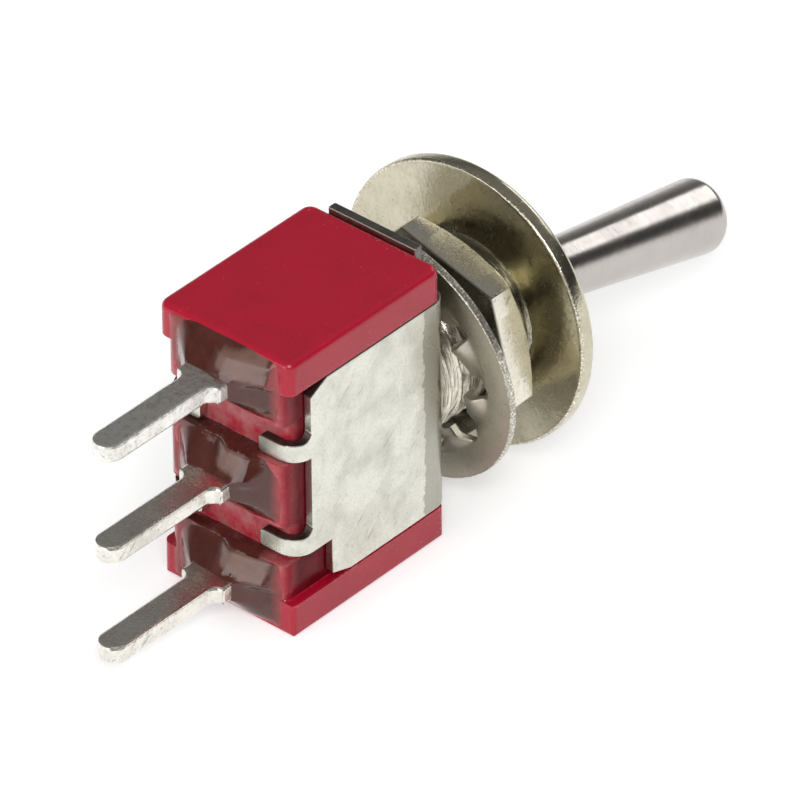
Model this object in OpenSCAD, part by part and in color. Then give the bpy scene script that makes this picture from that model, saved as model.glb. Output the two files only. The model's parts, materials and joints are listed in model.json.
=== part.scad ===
// Miniature toggle switch with a folded bracket, a threaded bush and pins for a circuit board.
// Millimetres. The origin is on the bush's axis at the bracket's front face, where a panel
// would seat. +X points along the bush to the lever, the pins point along -X, and the row of
// pins runs along Z. The lever stands in its lower position.

/* [Case] */
// Height of the case along the row of pins
case_h = 12.7; // [12.3:0.1:14]
// Width of the case from side to side
case_w = 6.75; // [6.6:0.05:7.5]
// Depth of the case from the bracket to the pin end
case_d = 8.7; // [8.4:0.1:9.6]
// Thickness of the flange at the case's upper and lower end
flange_t = 1.47; // [1.3:0.01:1.5]
// Radius of the moulded outer edges
case_edge_r = 0.2; // [0.1:0.05:0.3]
// Radius of the upright edges at the pin end between the flanges
waist_edge_r = 0.45; // [0.2:0.05:0.5]
// Width of the hollow that holds the contacts
cavity_w = 4.2; // [3.8:0.1:4.4]
// Thickness of the floor between the hollow and the sealed cells
floor_t = 0.9; // [0.7:0.1:1.2]
// Depth of a sealed cell around a pin
cell_depth = 1.2; // [0.9:0.1:1.5]
// Width of a sealed cell across the case
cell_w = 4.8; // [4.4:0.1:4.9]
// Height of a sealed cell along the row of pins
cell_h = 2.3; // [2:0.1:2.4]
// Radius of a cell's inner corners
cell_r = 0.35; // [0.2:0.05:0.5]
// Width of a groove between two cells, where a bracket tab lies
groove_w = 1.8; // [1.7:0.05:1.9]

/* [Bracket] */
// Thickness of the bracket's sheet
sheet_t = 0.4; // [0.3:0.05:0.5]
// Inner radius of the two front bends
bend_r = 0.4; // [0.2:0.05:0.6]
// Distance from the side plate's edge to the case's pin end
plate_setback = 1.19; // [1.1:0.01:1.4]
// Gap between a side plate and each flange
plate_gap = 0.06; // [0.04:0.01:0.1]
// Length of the chamfer at the side plate's upper corner
upper_chamfer_x = 0.9; // [0.5:0.1:1.2]
// Height of the chamfer at the side plate's upper corner
upper_chamfer_z = 0.5; // [0.3:0.1:0.8]
// How far the side plate's lower corner is stepped back
notch_x = 1.1; // [0.8:0.1:1.4]
// Length of the chamfer at the side plate's lower corner
lower_chamfer_x = 1.0; // [0.5:0.1:1.2]
// Height of the chamfer at the side plate's lower corner
lower_chamfer_z = 0.3; // [0.2:0.1:0.5]
// Height of a tab that is folded over the case
tab_h = 0.8; // [0.7:0.05:0.9]
// Distance between the two tabs of a side plate
tab_pitch = 4.4; // [4.3:0.05:4.6]
// How far the pair of tabs sits below the axis
tab_drop = 0.3; // [0.2:0.05:0.35]
// Inner radius of a tab's fold
tab_bend_r = 0.54; // [0.4:0.02:0.6]
// How far a tab reaches in over the case
tab_reach = 1.9; // [1.6:0.1:2.1]
// Radius of the fillet above a tab's root
tab_root_r = 0.45; // [0.2:0.05:0.5]
// Radius of the corners at a tab's tip
tab_tip_r = 0.2; // [0.1:0.05:0.4]
// Width of the tongue at each end of the front plate
tongue_w = 4.4; // [4:0.05:4.8]
// How far the tongues sit to the side of the axis
tongue_side = 0.2; // [0:0.05:0.3]
// How far the upper tongue stands above the case
tongue_rise = 0.15; // [0:0.05:0.3]

/* [Bush] */
// Diameter over the bush's thread
bush_d = 6.35; // [6.2:0.01:6.5]
// Length of the bush in front of the bracket
bush_l = 7.6; // [7.2:0.1:8]
// Chamfer at the bush's free end
bush_chamfer = 0.35; // [0.2:0.05:0.5]
// Distance from one ridge of the thread to the next
thread_pitch = 0.635; // [0.5:0.005:0.75]
// Depth of the thread
thread_depth = 0.3; // [0.2:0.02:0.34]
// Thickness of the flange under the bracket
bush_flange_t = 0.8; // [0.6:0.1:1]
// Width of the flange under the bracket
bush_flange_w = 5.0; // [4.7:0.1:5.1]
// Height of the flange under the bracket
bush_flange_h = 10.4; // [9.6:0.1:10.8]

/* [Lever] */
// Distance from the bracket's front to the lever's pivot
pivot_x = 5.9; // [5.6:0.1:6.2]
// Swing from the lower to the upper position, in degrees
lever_throw = 26; // [22:1:28]
// Length from the pivot to the tip
lever_l = 13.5; // [10:0.05:16]
// Diameter of the lever's cone at the pivot
lever_root_d = 2.18; // [1.8:0.02:2.3]
// Diameter of the lever's cone at the tip
lever_tip_d = 3.18; // [2.6:0.02:3.4]
// Radius of the rounded tip edge
lever_tip_r = 0.55; // [0.3:0.05:0.9]
// Diameter of the pivot ball
ball_d = 3.7; // [3.5:0.1:3.8]
// Diameter of the tail inside the case
tail_d = 2.3; // [2.1:0.05:2.4]
// Length of the tail behind the pivot
tail_l = 8.4; // [8:0.1:8.8]
// Diameter of the cross pin on which the lever turns
cross_pin_d = 1.0; // [0.8:0.05:1.2]
// Length of the cross pin
cross_pin_l = 4.7; // [4.3:0.1:4.9]

/* [Contact drive] */
// Diameter of the plunger in the lever's tail
plunger_d = 1.4; // [1.2:0.05:1.5]
// Length of the plunger that stays inside the tail
plunger_grip = 1.5; // [1.2:0.1:1.8]
// How far the plunger can be pushed in
plunger_travel = 0.5; // [0.3:0.05:0.6]
// Wire diameter of the plunger's spring
spring_wire_d = 0.2; // [0.15:0.01:0.25]
// Outer diameter of the plunger's spring
spring_d = 1.2; // [1.1:0.05:1.3]
// Length of the plunger's spring
spring_l = 3.0; // [2.6:0.1:3.4]
// Turns of the plunger's spring
spring_turns = 6; // [4:1:8]

/* [Contacts] */
// Height of the rocker's axis above the floor
rocker_rise = 1.6; // [1.5:0.05:1.8]
// Tilt of the rocker from one contact to the other, in degrees
rocker_throw = 16; // [14:1:18]
// Thickness of the rocker's strip
rocker_t = 0.35; // [0.3:0.01:0.4]
// Width of the rocker's strip
rocker_w = 2.4; // [2:0.1:2.8]
// Outer radius of the rocker's rolled pivot
rocker_pivot_r = 0.6; // [0.5:0.05:0.7]
// Distance from the rocker's axis to the start of a wing
wing_start = 2.5; // [2.4:0.05:2.7]
// Distance from the rocker's axis to a wing's end
wing_end = 4.5; // [4.3:0.05:4.6]
// Distance from the rocker's axis to a moving contact
contact_z = 3.9; // [3.7:0.05:4]
// Diameter of the contact buttons
contact_d = 1.3; // [1:0.05:1.4]
// Thickness of the contact buttons
contact_t = 0.3; // [0.2:0.02:0.4]
// Height of the moving contact's crown
crown_h = 0.1; // [0.05:0.01:0.15]
// Depth of the hollow pivot bearing on the centre terminal
cradle_depth = 0.35; // [0.25:0.05:0.4]
// Wall beside the pivot bearing
cradle_wall = 0.45; // [0.3:0.05:0.5]

/* [Terminals] */
// Distance from one pin to the next
pin_pitch = 4.7; // [4.6:0.02:4.8]
// Width of a pin
pin_w = 1.27; // [1.1:0.01:1.4]
// Thickness of a terminal's sheet
pin_t = 0.76; // [0.6:0.02:0.8]
// Length of a pin beyond the case's pin end
pin_l = 7.03; // [5:0.01:8]
// Width of a terminal's shoulder
shoulder_w = 2.15; // [2:0.05:2.4]
// How far a shoulder stands out of the case's pin end
shoulder_l = 1.45; // [1.2:0.05:1.7]
// Radius of the fillet between a shoulder and its pin
shoulder_r = 0.4; // [0.3:0.05:0.44]
// Thickness of the ledge that carries a fixed contact
ledge_t = 0.5; // [0.4:0.05:0.6]
// How far the sealing resin climbs beyond the case's pin end
seal_rise = 0.8; // [0.5:0.05:0.95]
// How far the sealing resin lies below the cell's rim at the walls
seal_dip = 0.08; // [0.03:0.01:0.2]
// Width of resin left around the terminal where it climbs highest
seal_lip = 0.1; // [0.05:0.01:0.15]
// Radius of the resin's hollow flank across the case, as a share of the flank's length
seal_wide_curve = 1.1; // [0.9:0.05:2]
// Radius of the resin's hollow flank along the row, as a share of the flank's length
seal_thin_curve = 0.8; // [0.7:0.05:2]

/* [Washers and nut] */
// Outer diameter of the tooth lock washer
lock_d = 11.25; // [10.5:0.05:12]
// Thickness of the tooth lock washer
lock_t = 0.35; // [0.3:0.05:0.5]
// Diameter of the tooth lock washer's inner ring edge
lock_ring_d = 8.9; // [8.4:0.1:9.2]
// Distance from the bracket to the middle of the tooth lock washer
lock_x = 1.17; // [1:0.01:1.3]
// How far the loose lock washer leans back to the bracket, in degrees
lock_lean = 4.7; // [0:0.1:5]
// How far the loose lock washer swings sideways, in degrees
lock_swing = 0.7; // [0:0.1:1]
// Number of teeth on the lock washer
lock_teeth = 10; // [8:1:11]
// Turn of the lock washer on the bush, in degrees
lock_turn = 30; // [0:1:36]
// Width of a tooth at its tip
tooth_w = 1.25; // [1:0.05:1.4]
// Width of a tooth at its root
tooth_root_w = 1.9; // [1.6:0.05:2.1]
// Twist of a tooth out of the washer's plane, in degrees
tooth_twist = 20; // [12:1:24]
// Distance across the nut's flats
nut_af = 8.2; // [7.8:0.02:9]
// Thickness of the nut
nut_t = 1.5; // [1.3:0.05:1.8]
// Distance from the bracket to the nut
nut_x = 2.39; // [2.3:0.01:2.5]
// Height of the nut's corner edges
nut_corner = 1.06; // [0.9:0.02:1.2]
// Angle of the nut's chamfer to its face, in degrees
nut_chamfer = 30; // [25:1:40]
// Depth of the countersink at each end of the nut's bore
nut_sink = 0.25; // [0.1:0.05:0.35]
// Turn of the nut on its thread, in degrees
nut_turn = 15.3; // [0:0.1:60]
// Outer diameter of the face washer
face_d = 12.2; // [11:0.1:13]
// Thickness of the face washer
face_t = 0.8; // [0.5:0.05:0.9]
// Distance from the bracket to the middle of the face washer
face_x = 5.24; // [5:0.02:5.4]
// Radius of the face washer's rounded front edge
face_front_r = 0.3; // [0.1:0.05:0.35]
// Radius of the face washer's rounded rear edge
face_rear_r = 0.14; // [0.05:0.01:0.2]
// How far the loose face washer leans back, in degrees
face_lean = 2.2; // [0:0.1:3]
// How far the face washer's rim sits to the side of its hole
face_side = 0.19; // [0:0.01:0.3]
// How far the face washer's rim sits above its hole
face_up = 0.16; // [0:0.01:0.3]

/* [Fits] */
// Clearance of the bracket, the bush and the terminals in the case
seat_gap = 0.03; // [0.02:0.01:0.05]
// Running clearance of turning and sliding pieces
run_gap = 0.05; // [0.03:0.01:0.08]
// Clearance around the swinging lever
swing_gap = 0.12; // [0.08:0.01:0.15]
// Clearance of the nut and the lock washer on the bush
hardware_gap = 0.06; // [0.04:0.01:0.1]
// Clearance of the loose face washer on the bush
face_gap = 0.1; // [0.08:0.01:0.2]
// Gap between contacts, and between plunger and rocker, that stands for touching
touch_gap = 0.05; // [0.03:0.01:0.08]

/* [Hidden] */
$fn = 64;
// Margin by which a cut runs past a face
over = 0.5;
// Section of one groove of the thread: places along the pitch with depths, both as shares
GROOVE = [[0.1, 0], [0.45, 1], [0.65, 1], [1, 0]];

// Places along X, from the bracket's front backwards
case_front_x = -sheet_t;
case_end_x = case_front_x - case_d;
cell_floor_x = case_end_x + cell_depth;
floor_x = cell_floor_x + floor_t;
flange_back_x = case_front_x - bush_flange_t;
plate_end_x = case_end_x + plate_setback;
saddle_x = plate_end_x - tab_bend_r;
pin_tip_x = case_end_x - pin_l;
shoulder_x = case_end_x - shoulder_l;
rocker_x = floor_x + rocker_rise;

// Half sizes across the case
plate_y = case_w / 2 - sheet_t;
side_y = plate_y - seat_gap;
flange_z = case_h / 2 - flange_t;

// Lever and bush
half_throw = lever_throw / 2;
bush_r = bush_d / 2;
seat_r = ball_d / 2 + run_gap;
tail_r = tail_d / 2;
tail_bore_r = plunger_d / 2 + run_gap;
lever_slope = (lever_tip_d - lever_root_d) / 2 / lever_l;
function lever_r(s) = lever_root_d / 2 + lever_slope * s;
// Half height that the tilted lever sweeps at a distance s in front of or behind the pivot
function swept(s, r) = s * sin(half_throw) + r / cos(half_throw) + swing_gap;

// Plunger and rocker: the plunger's round end follows a curved track on the rocker
half_tilt = rocker_throw / 2;
tip_r = plunger_d / 2;
tip_rise = rocker_t / 2 + tip_r + touch_gap;
tip_reach = pivot_x - rocker_x - tip_rise;
track_z = tip_reach * sin(half_throw + half_tilt) - (pivot_x - rocker_x) * sin(half_tilt);
track_x = (pivot_x - rocker_x) * cos(half_tilt) - tip_reach * cos(half_throw + half_tilt);
track_lift = track_x - tip_rise;
track_r = (track_z * track_z + track_lift * track_lift) / 2 / track_lift + tip_r + touch_gap;
track_centre = track_r + rocker_t / 2;
wing_x = track_centre - sqrt(track_centre * track_centre - wing_start * wing_start);
bore_end_s = tail_l - plunger_grip - spring_l;

// Place of a point of the rocker, given level as height and distance, when its upper side is down
function closed_x(h, z) = rocker_x + h * cos(half_tilt) - z * sin(half_tilt);
function closed_z(h, z) = z * cos(half_tilt) + h * sin(half_tilt);
contact_h = wing_x + (contact_z - wing_start) * tan(half_tilt);
fixed_z = closed_z(contact_h, contact_z);
fixed_top_x = closed_x(contact_h, contact_z) - rocker_t / 2 - contact_t - crown_h - touch_gap;
ledge_top_x = fixed_top_x - contact_t;
ledge_x = ledge_top_x - ledge_t;
ledge_in_z = fixed_z - contact_d / 2 - seat_gap;
ledge_out_z = pin_pitch + pin_t / 2;
cavity_z = ledge_out_z + seat_gap;
groove_half = groove_w / 2;

// Shared shapes

// Box given by its corners
module span(low, high) {
    translate(low) cube(high - low);
}

// Round bar along X from x0 to x1
module bar_x(x0, x1, r) {
    translate([x0, 0, 0]) rotate([0, 90, 0]) cylinder(h = x1 - x0, r = r);
}

// Flat outline with round corners, centred
module round_rect(w, h, r) {
    square([w - 2 * r, h], center = true);
    square([w, h - 2 * r], center = true);
    for (sx = [-1, 1], sy = [-1, 1])
        translate([sx * (w / 2 - r), sy * (h / 2 - r)]) circle(r = r);
}

// Prism along X of an outline drawn with Y to the right and Z up
module prism_x(x0, x1) {
    translate([x0, 0, 0]) rotate([90, 0, 90]) linear_extrude(x1 - x0) children();
}

// Prism along Y of an outline drawn with X to the right and Z up
module prism_y(half) {
    translate([0, half, 0]) rotate([90, 0, 0]) linear_extrude(2 * half) children();
}

// Prism along Z of an outline drawn with X to the right and Y up
module prism_z(z0, z1) {
    translate([0, 0, z0]) linear_extrude(z1 - z0) children();
}

// Corner piece with a hollow arc, its square corner at the origin
module fillet(r) {
    difference() {
        square(r);
        translate([r, r]) circle(r = r);
    }
}

// Box with every edge rounded, between x0 and x1
module soft_block(x0, x1, w, h, r) {
    mid = (x0 + x1) / 2;
    intersection() {
        prism_x(x0, x1) round_rect(w, h, r);
        prism_y(w / 2) translate([mid, 0]) round_rect(x1 - x0, h, r);
        prism_z(-h / 2, h / 2) translate([mid, 0]) round_rect(x1 - x0, w, r);
    }
}

// Circle of radius r that passes through two points, on the left of the way from p to q
module arc_cut(p, q, r) {
    d = q - p;
    n = norm(d);
    lift = sqrt(r * r - n * n / 4);
    translate((p + q) / 2 + lift * [-d[1], d[0]] / n) circle(r = r);
}

// Case: red moulding with end flanges, sealed cells and grooves for the bracket's tabs

// Plan of the case between the side plates, rounded to clear the bracket's bends
module waist_outline(end_x, end_r) {
    front_r = bend_r + seat_gap;
    mid_x = (end_x + case_front_x) / 2;
    translate([(end_x + mid_x + front_r) / 2, 0])
        round_rect(mid_x + front_r - end_x, 2 * side_y, end_r);
    translate([(mid_x - front_r + case_front_x) / 2, 0])
        round_rect(case_front_x - mid_x + front_r, 2 * side_y, front_r);
}

// What is cut away around that plan from z0 to z1
module waist_cut(z0, z1, end_x, end_r) {
    difference() {
        span([case_end_x - over, -case_w, z0], [case_front_x + over, case_w, z1]);
        prism_z(z0 - over, z1 + over) waist_outline(end_x, end_r);
    }
}

// Groove across the pin end, with a rounded saddle for the tab's fold
module tab_groove(z) {
    waist_cut(z - groove_half, z + groove_half, saddle_x, tab_bend_r + seat_gap);
}

module cell_cut(z) {
    translate([0, 0, z])
        prism_x(case_end_x - over, cell_floor_x) round_rect(cell_w, cell_h, cell_r);
}

// Slot in the floor through which a terminal's blade passes
module blade_slot(z) {
    y = shoulder_w / 2 + seat_gap;
    t = pin_t / 2 + seat_gap;
    span([cell_floor_x - over, -y, z - t], [floor_x + case_d / 2, y, z + t]);
}

module cavity() {
    y = cavity_w / 2;
    step_z = ledge_in_z - run_gap;
    span([ledge_x, -y, -cavity_z], [case_front_x + over, y, cavity_z]);
    span([floor_x, -y, -step_z], [ledge_x + over, y, step_z]);
    span([flange_back_x, -bush_flange_w / 2 - seat_gap, -bush_flange_h / 2 - seat_gap],
         [case_front_x + over, bush_flange_w / 2 + seat_gap, bush_flange_h / 2 + seat_gap]);
}

module case() {
    color("crimson") difference() {
        soft_block(case_end_x, case_front_x, case_w, case_h, case_edge_r);
        waist_cut(-flange_z, flange_z, case_end_x, waist_edge_r);
        cavity();
        for (s = [-1, 1]) tab_groove(s * pin_pitch / 2);
        for (k = [-1, 0, 1]) {
            cell_cut(k * pin_pitch);
            blade_slot(k * pin_pitch);
        }
    }
}

// Bracket: one folded sheet with a front plate, two side plates and four tabs

// Section of the folded channel, seen along Z
module channel_outline() {
    outer_r = bend_r + sheet_t;
    difference() {
        translate([plate_end_x / 2, 0]) union() {
            translate([-outer_r / 2, 0]) square([-plate_end_x - outer_r, case_w], center = true);
            square([-plate_end_x, case_w - 2 * outer_r], center = true);
            for (s = [-1, 1])
                translate([-plate_end_x / 2 - outer_r, s * (case_w / 2 - outer_r)]) circle(r = outer_r);
        }
        translate([-sheet_t - case_d, 0]) round_rect(2 * case_d, 2 * plate_y, bend_r);
    }
}

// What is trimmed from the side plates' corners, seen from the side
module plate_trim() {
    top = flange_z - plate_gap;
    polygon([[plate_end_x - over, top + over], [plate_end_x - over, top - upper_chamfer_z],
             [plate_end_x, top - upper_chamfer_z], [plate_end_x + upper_chamfer_x, top],
             [plate_end_x + upper_chamfer_x, top + over]]);
    notch_end = plate_end_x + notch_x;
    notch_z = -tab_drop - tab_pitch / 2 - tab_h / 2;
    polygon([[plate_end_x - over, notch_z], [notch_end, notch_z],
             [notch_end, lower_chamfer_z - top], [notch_end + lower_chamfer_x, -top],
             [notch_end + lower_chamfer_x, -top - over], [plate_end_x - over, -top - over]]);
}

// Section of a tab's fold on one side, seen along Z
module tab_outline() {
    r = tab_bend_r + sheet_t;
    flat = tab_reach - r;
    translate([plate_end_x, r - case_w / 2]) intersection() {
        difference() {
            circle(r = r);
            circle(r = tab_bend_r);
        }
        translate([-r, -r]) square(r);
    }
    translate([plate_end_x - r, r - case_w / 2]) square([sheet_t, flat]);
}

// Rounded outline of a tab's tip, seen along X
module tab_tip() {
    translate([tab_reach / 2 - case_w / 2, 0]) {
        translate([-tab_reach / 4, 0]) square([tab_reach / 2, tab_h], center = true);
        round_rect(tab_reach, tab_h, tab_tip_r);
    }
}

// Tab with a fillet above its root
module tab(z) {
    translate([0, 0, z]) intersection() {
        prism_z(-tab_h / 2, tab_h / 2 + tab_root_r) tab_outline();
        union() {
            prism_x(case_end_x - over, plate_end_x + over) tab_tip();
            translate([plate_end_x, -case_w / 2, tab_h / 2])
                prism_y(tab_bend_r + sheet_t) mirror([1, 0]) fillet(tab_root_r);
        }
    }
}

module bracket() {
    top = flange_z - plate_gap;
    color("gainsboro") {
        difference() {
            union() {
                prism_z(-top, top) channel_outline();
                span([-sheet_t, tongue_side - tongue_w / 2, -case_h / 2],
                     [0, tongue_side + tongue_w / 2, case_h / 2 + tongue_rise]);
            }
            prism_y(case_w) plate_trim();
            bar_x(-sheet_t - over, over, bush_r + seat_gap);
        }
        for (m = [0, 1], s = [-1, 1])
            mirror([0, m, 0]) tab(s * tab_pitch / 2 - tab_drop);
    }
}

// Bush: threaded sleeve with a flange under the bracket and a seat for the lever's ball

// Half section of the bore: a throat, a round seat for the ball and a straight rear part
module bore_outline(front, rear) {
    intersection() {
        circle(r = seat_r);
        square(seat_r);
    }
    translate([0, -rear]) square([seat_r, rear]);
    polygon([[0, 0], [swept(0, lever_r(0)), 0], [swept(front, lever_r(front)), front], [0, front]]);
}

// Bore of the bush with the round-ended slot in which the tail swings
module lever_swing() {
    front = bush_l - pivot_x + over;
    rear = pivot_x - flange_back_x + over;
    y = tail_r + swing_gap;
    z = swept(rear, tail_r) + over;
    translate([pivot_x, 0, 0]) {
        rotate([0, 90, 0]) rotate_extrude() bore_outline(front, rear);
        intersection() {
            span([-rear, -y, -z], [0, y, z]);
            translate([-rear, 0, 0]) rotate([0, 90, 0])
                cylinder(h = rear, r1 = swept(rear, tail_r), r2 = swept(0, tail_r));
        }
    }
}

// Half section of the bush in front of its flange, with the thread as a row of ridges
module bush_outline() {
    first_x = thread_pitch / 2;
    turns = floor((bush_l - bush_chamfer - first_x) / thread_pitch);
    grooves = [for (i = [0 : turns - 1], g = GROOVE)
        [bush_r - g[1] * thread_depth, first_x + (i + g[0]) * thread_pitch]];
    polygon(concat([[0, case_front_x], [bush_r, case_front_x]], grooves,
                   [[bush_r, bush_l - bush_chamfer], [bush_r - bush_chamfer, bush_l], [0, bush_l]]));
}

// Slots in which the cross pin's ends turn, open towards the case
module pin_slots() {
    r = cross_pin_d / 2 + run_gap;
    y = cross_pin_l / 2 + run_gap;
    translate([pivot_x, 0, 0]) rotate([90, 0, 0]) cylinder(h = 2 * y, r = r, center = true);
    span([flange_back_x - over, -y, -r], [pivot_x, y, r]);
}

module bushing() {
    color("silver") difference() {
        union() {
            rotate([0, 90, 0]) rotate_extrude() bush_outline();
            span([flange_back_x, -bush_flange_w / 2, -bush_flange_h / 2],
                 [case_front_x, bush_flange_w / 2, bush_flange_h / 2]);
        }
        lever_swing();
        pin_slots();
    }
}

// Lever with its ball, tail, cross pin, plunger and spring

// Places a piece drawn along +X from the pivot at the lever's resting tilt
module at_lever() {
    translate([pivot_x, 0, 0]) rotate([0, half_throw, 0]) children();
}

// Half section of the lever's visible cone with its rounded tip
module cone_outline() {
    edge_s = lever_l - lever_tip_r;
    edge_r = lever_r(edge_s) - lever_tip_r;
    polygon([[0, 0], [lever_root_d / 2, 0], [lever_r(edge_s), edge_s],
             [edge_r, lever_l], [0, lever_l]]);
    translate([edge_r, edge_s]) circle(r = lever_tip_r);
}

module lever() {
    color("lightgray") at_lever() difference() {
        union() {
            rotate([0, 90, 0]) rotate_extrude() cone_outline();
            sphere(r = ball_d / 2);
            bar_x(-tail_l, 0, tail_r);
        }
        bar_x(-tail_l - over, -bore_end_s, tail_bore_r);
        rotate([90, 0, 0]) cylinder(h = ball_d + over, r = cross_pin_d / 2, center = true);
    }
}

module cross_pin() {
    color("dimgray") at_lever()
        rotate([90, 0, 0]) cylinder(h = cross_pin_l, r = cross_pin_d / 2, center = true);
}

module plunger() {
    color("ivory") at_lever() {
        bar_x(-tip_reach, -tail_l + plunger_grip, tip_r);
        translate([-tip_reach, 0, 0]) sphere(r = tip_r);
    }
}

// Points of the spring's wire: rings of a round section along a helix
ring_sides = 8;
turn_steps = 16;
function helix_point(a) = let (r = (spring_d - spring_wire_d) / 2)
    [spring_wire_d / 2 + (spring_l - spring_wire_d) * a / 360 / spring_turns, r * cos(a), r * sin(a)];
function helix_way(a) = let (r = (spring_d - spring_wire_d) / 2, d =
    [(spring_l - spring_wire_d) / 360 / spring_turns * 180 / PI, -r * sin(a), r * cos(a)]) d / norm(d);
function ring_point(a, b) = let (out = [0, cos(a), sin(a)], side = cross(helix_way(a), out))
    helix_point(a) + spring_wire_d / 2 * (cos(b) * out + sin(b) * side);

module wire_helix() {
    last = spring_turns * turn_steps;
    points = [for (i = [0 : last], k = [0 : ring_sides - 1])
        ring_point(i * 360 / turn_steps, k * 360 / ring_sides)];
    sides = [for (i = [0 : last - 1], k = [0 : ring_sides - 1]) let (n = (k + 1) % ring_sides)
        [i * ring_sides + k, i * ring_sides + n, (i + 1) * ring_sides + n, (i + 1) * ring_sides + k]];
    ends = [[for (k = [ring_sides - 1 : -1 : 0]) k],
            [for (k = [0 : ring_sides - 1]) last * ring_sides + k]];
    polyhedron(points, concat(sides, ends));
}

module plunger_spring() {
    color("slategray") at_lever()
        translate([-bore_end_s - spring_l, 0, 0]) wire_helix();
}

// Rocker: curved strip that tips from one fixed contact to the other

// Places a piece of the rocker drawn level, with its axis at the origin
module at_rocker() {
    translate([rocker_x, 0, 0]) rotate([0, -half_tilt, 0]) children();
}

// Section of the rocker, with X up from the axis and Y along the row of pins
module rocker_outline() {
    wing_l = (wing_end - wing_start) / cos(half_tilt);
    intersection() {
        difference() {
            translate([track_centre, 0]) circle(r = track_r + rocker_t);
            translate([track_centre, 0]) circle(r = track_r);
        }
        translate([-track_r, -wing_start]) square([track_r + wing_x + rocker_t, 2 * wing_start]);
    }
    for (s = [0, 1])
        mirror([0, s]) translate([wing_x, wing_start]) rotate(-half_tilt) {
            translate([-rocker_t / 2, 0]) square([rocker_t, wing_l]);
            circle(r = rocker_t / 2);
        }
    difference() {
        circle(r = rocker_pivot_r);
        translate([rocker_t / 2, -rocker_pivot_r]) square(2 * rocker_pivot_r);
        translate([track_centre, 0]) circle(r = track_r);
    }
}

module rocker() {
    color("peru") at_rocker() prism_y(rocker_w / 2) rocker_outline();
}

// Moving contact: button under a wing, with a rounded crown
module moving_contact(side) {
    crown_r = (contact_d * contact_d / 4 + crown_h * crown_h) / 2 / crown_h;
    color("whitesmoke") at_rocker() mirror([0, 0, side < 0 ? 1 : 0])
        translate([contact_h, 0, contact_z]) rotate([0, half_tilt - 90, 0])
            intersection() {
                translate([0, 0, rocker_t / 2]) cylinder(h = contact_t + crown_h, r = contact_d / 2);
                translate([0, 0, rocker_t / 2 + contact_t + crown_h - crown_r]) sphere(r = crown_r);
            }
}

module upper_moving_contact() { moving_contact(1); }
module lower_moving_contact() { moving_contact(-1); }

module fixed_contact(side) {
    color("whitesmoke") translate([0, 0, side * fixed_z])
        bar_x(ledge_top_x, fixed_top_x, contact_d / 2);
}

module upper_fixed_contact() { fixed_contact(1); }
module lower_fixed_contact() { fixed_contact(-1); }

// Terminals: stamped blades with a round-ended pin and a filleted shoulder

module blade_outline(inner_x) {
    tip_x = pin_tip_x + pin_w / 2;
    translate([tip_x, 0]) circle(d = pin_w);
    translate([tip_x, -pin_w / 2]) square([shoulder_x - tip_x, pin_w]);
    translate([shoulder_x, -shoulder_w / 2]) square([inner_x - shoulder_x, shoulder_w]);
    for (s = [0, 1])
        mirror([0, s]) translate([shoulder_x, pin_w / 2]) mirror([1, 0]) fillet(shoulder_r);
}

module blade(z, inner_x) {
    prism_z(z - pin_t / 2, z + pin_t / 2) blade_outline(inner_x);
}

// End terminal with a ledge bent in over the floor
module end_terminal(side) {
    color("lightsteelblue") mirror([0, 0, side < 0 ? 1 : 0]) {
        blade(pin_pitch, ledge_top_x);
        span([ledge_x, -shoulder_w / 2, ledge_in_z], [ledge_top_x, shoulder_w / 2, ledge_out_z]);
    }
}

module upper_terminal() { end_terminal(1); }
module lower_terminal() { end_terminal(-1); }

// Centre terminal with a hollow bearing for the rocker's rolled pivot
module centre_terminal() {
    bearing_r = rocker_pivot_r + run_gap;
    head_z = bearing_r + cradle_wall;
    color("lightsteelblue") difference() {
        union() {
            blade(0, floor_x);
            span([floor_x, -shoulder_w / 2, -head_z],
                 [rocker_x - bearing_r + cradle_depth, shoulder_w / 2, head_z]);
        }
        translate([rocker_x, 0, 0]) rotate([90, 0, 0])
            cylinder(h = shoulder_w + over, r = bearing_r, center = true);
    }
}

// Seals: resin in each cell, drawn up around its terminal with hollow flanks

// Section of the resin across a cell of half width half, around a blade of half width inner
module seal_outline(half, inner, r) {
    top = case_end_x - seal_rise;
    rim = case_end_x + seal_dip;
    difference() {
        translate([top, -half]) square([cell_floor_x - top, 2 * half]);
        for (s = [0, 1])
            mirror([0, s]) arc_cut([top, inner + seal_lip], [rim, half], r);
    }
}

module seal(z) {
    wide_r = seal_wide_curve * norm([seal_rise + seal_dip, (cell_w - shoulder_w) / 2]);
    thin_r = seal_thin_curve * norm([seal_rise + seal_dip, (cell_h - pin_t) / 2]);
    color("saddlebrown") translate([0, 0, z]) difference() {
        intersection() {
            prism_z(-cell_h / 2, cell_h / 2) seal_outline(cell_w / 2, shoulder_w / 2, wide_r);
            prism_y(cell_w / 2) seal_outline(cell_h / 2, pin_t / 2, thin_r);
            prism_x(case_end_x - seal_rise - over, cell_floor_x) round_rect(cell_w, cell_h, cell_r);
        }
        blade(0, floor_x);
    }
}

module upper_seal() { seal(pin_pitch); }
module centre_seal() { seal(0); }
module lower_seal() { seal(-pin_pitch); }

// Washers and nut on the bush

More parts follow.
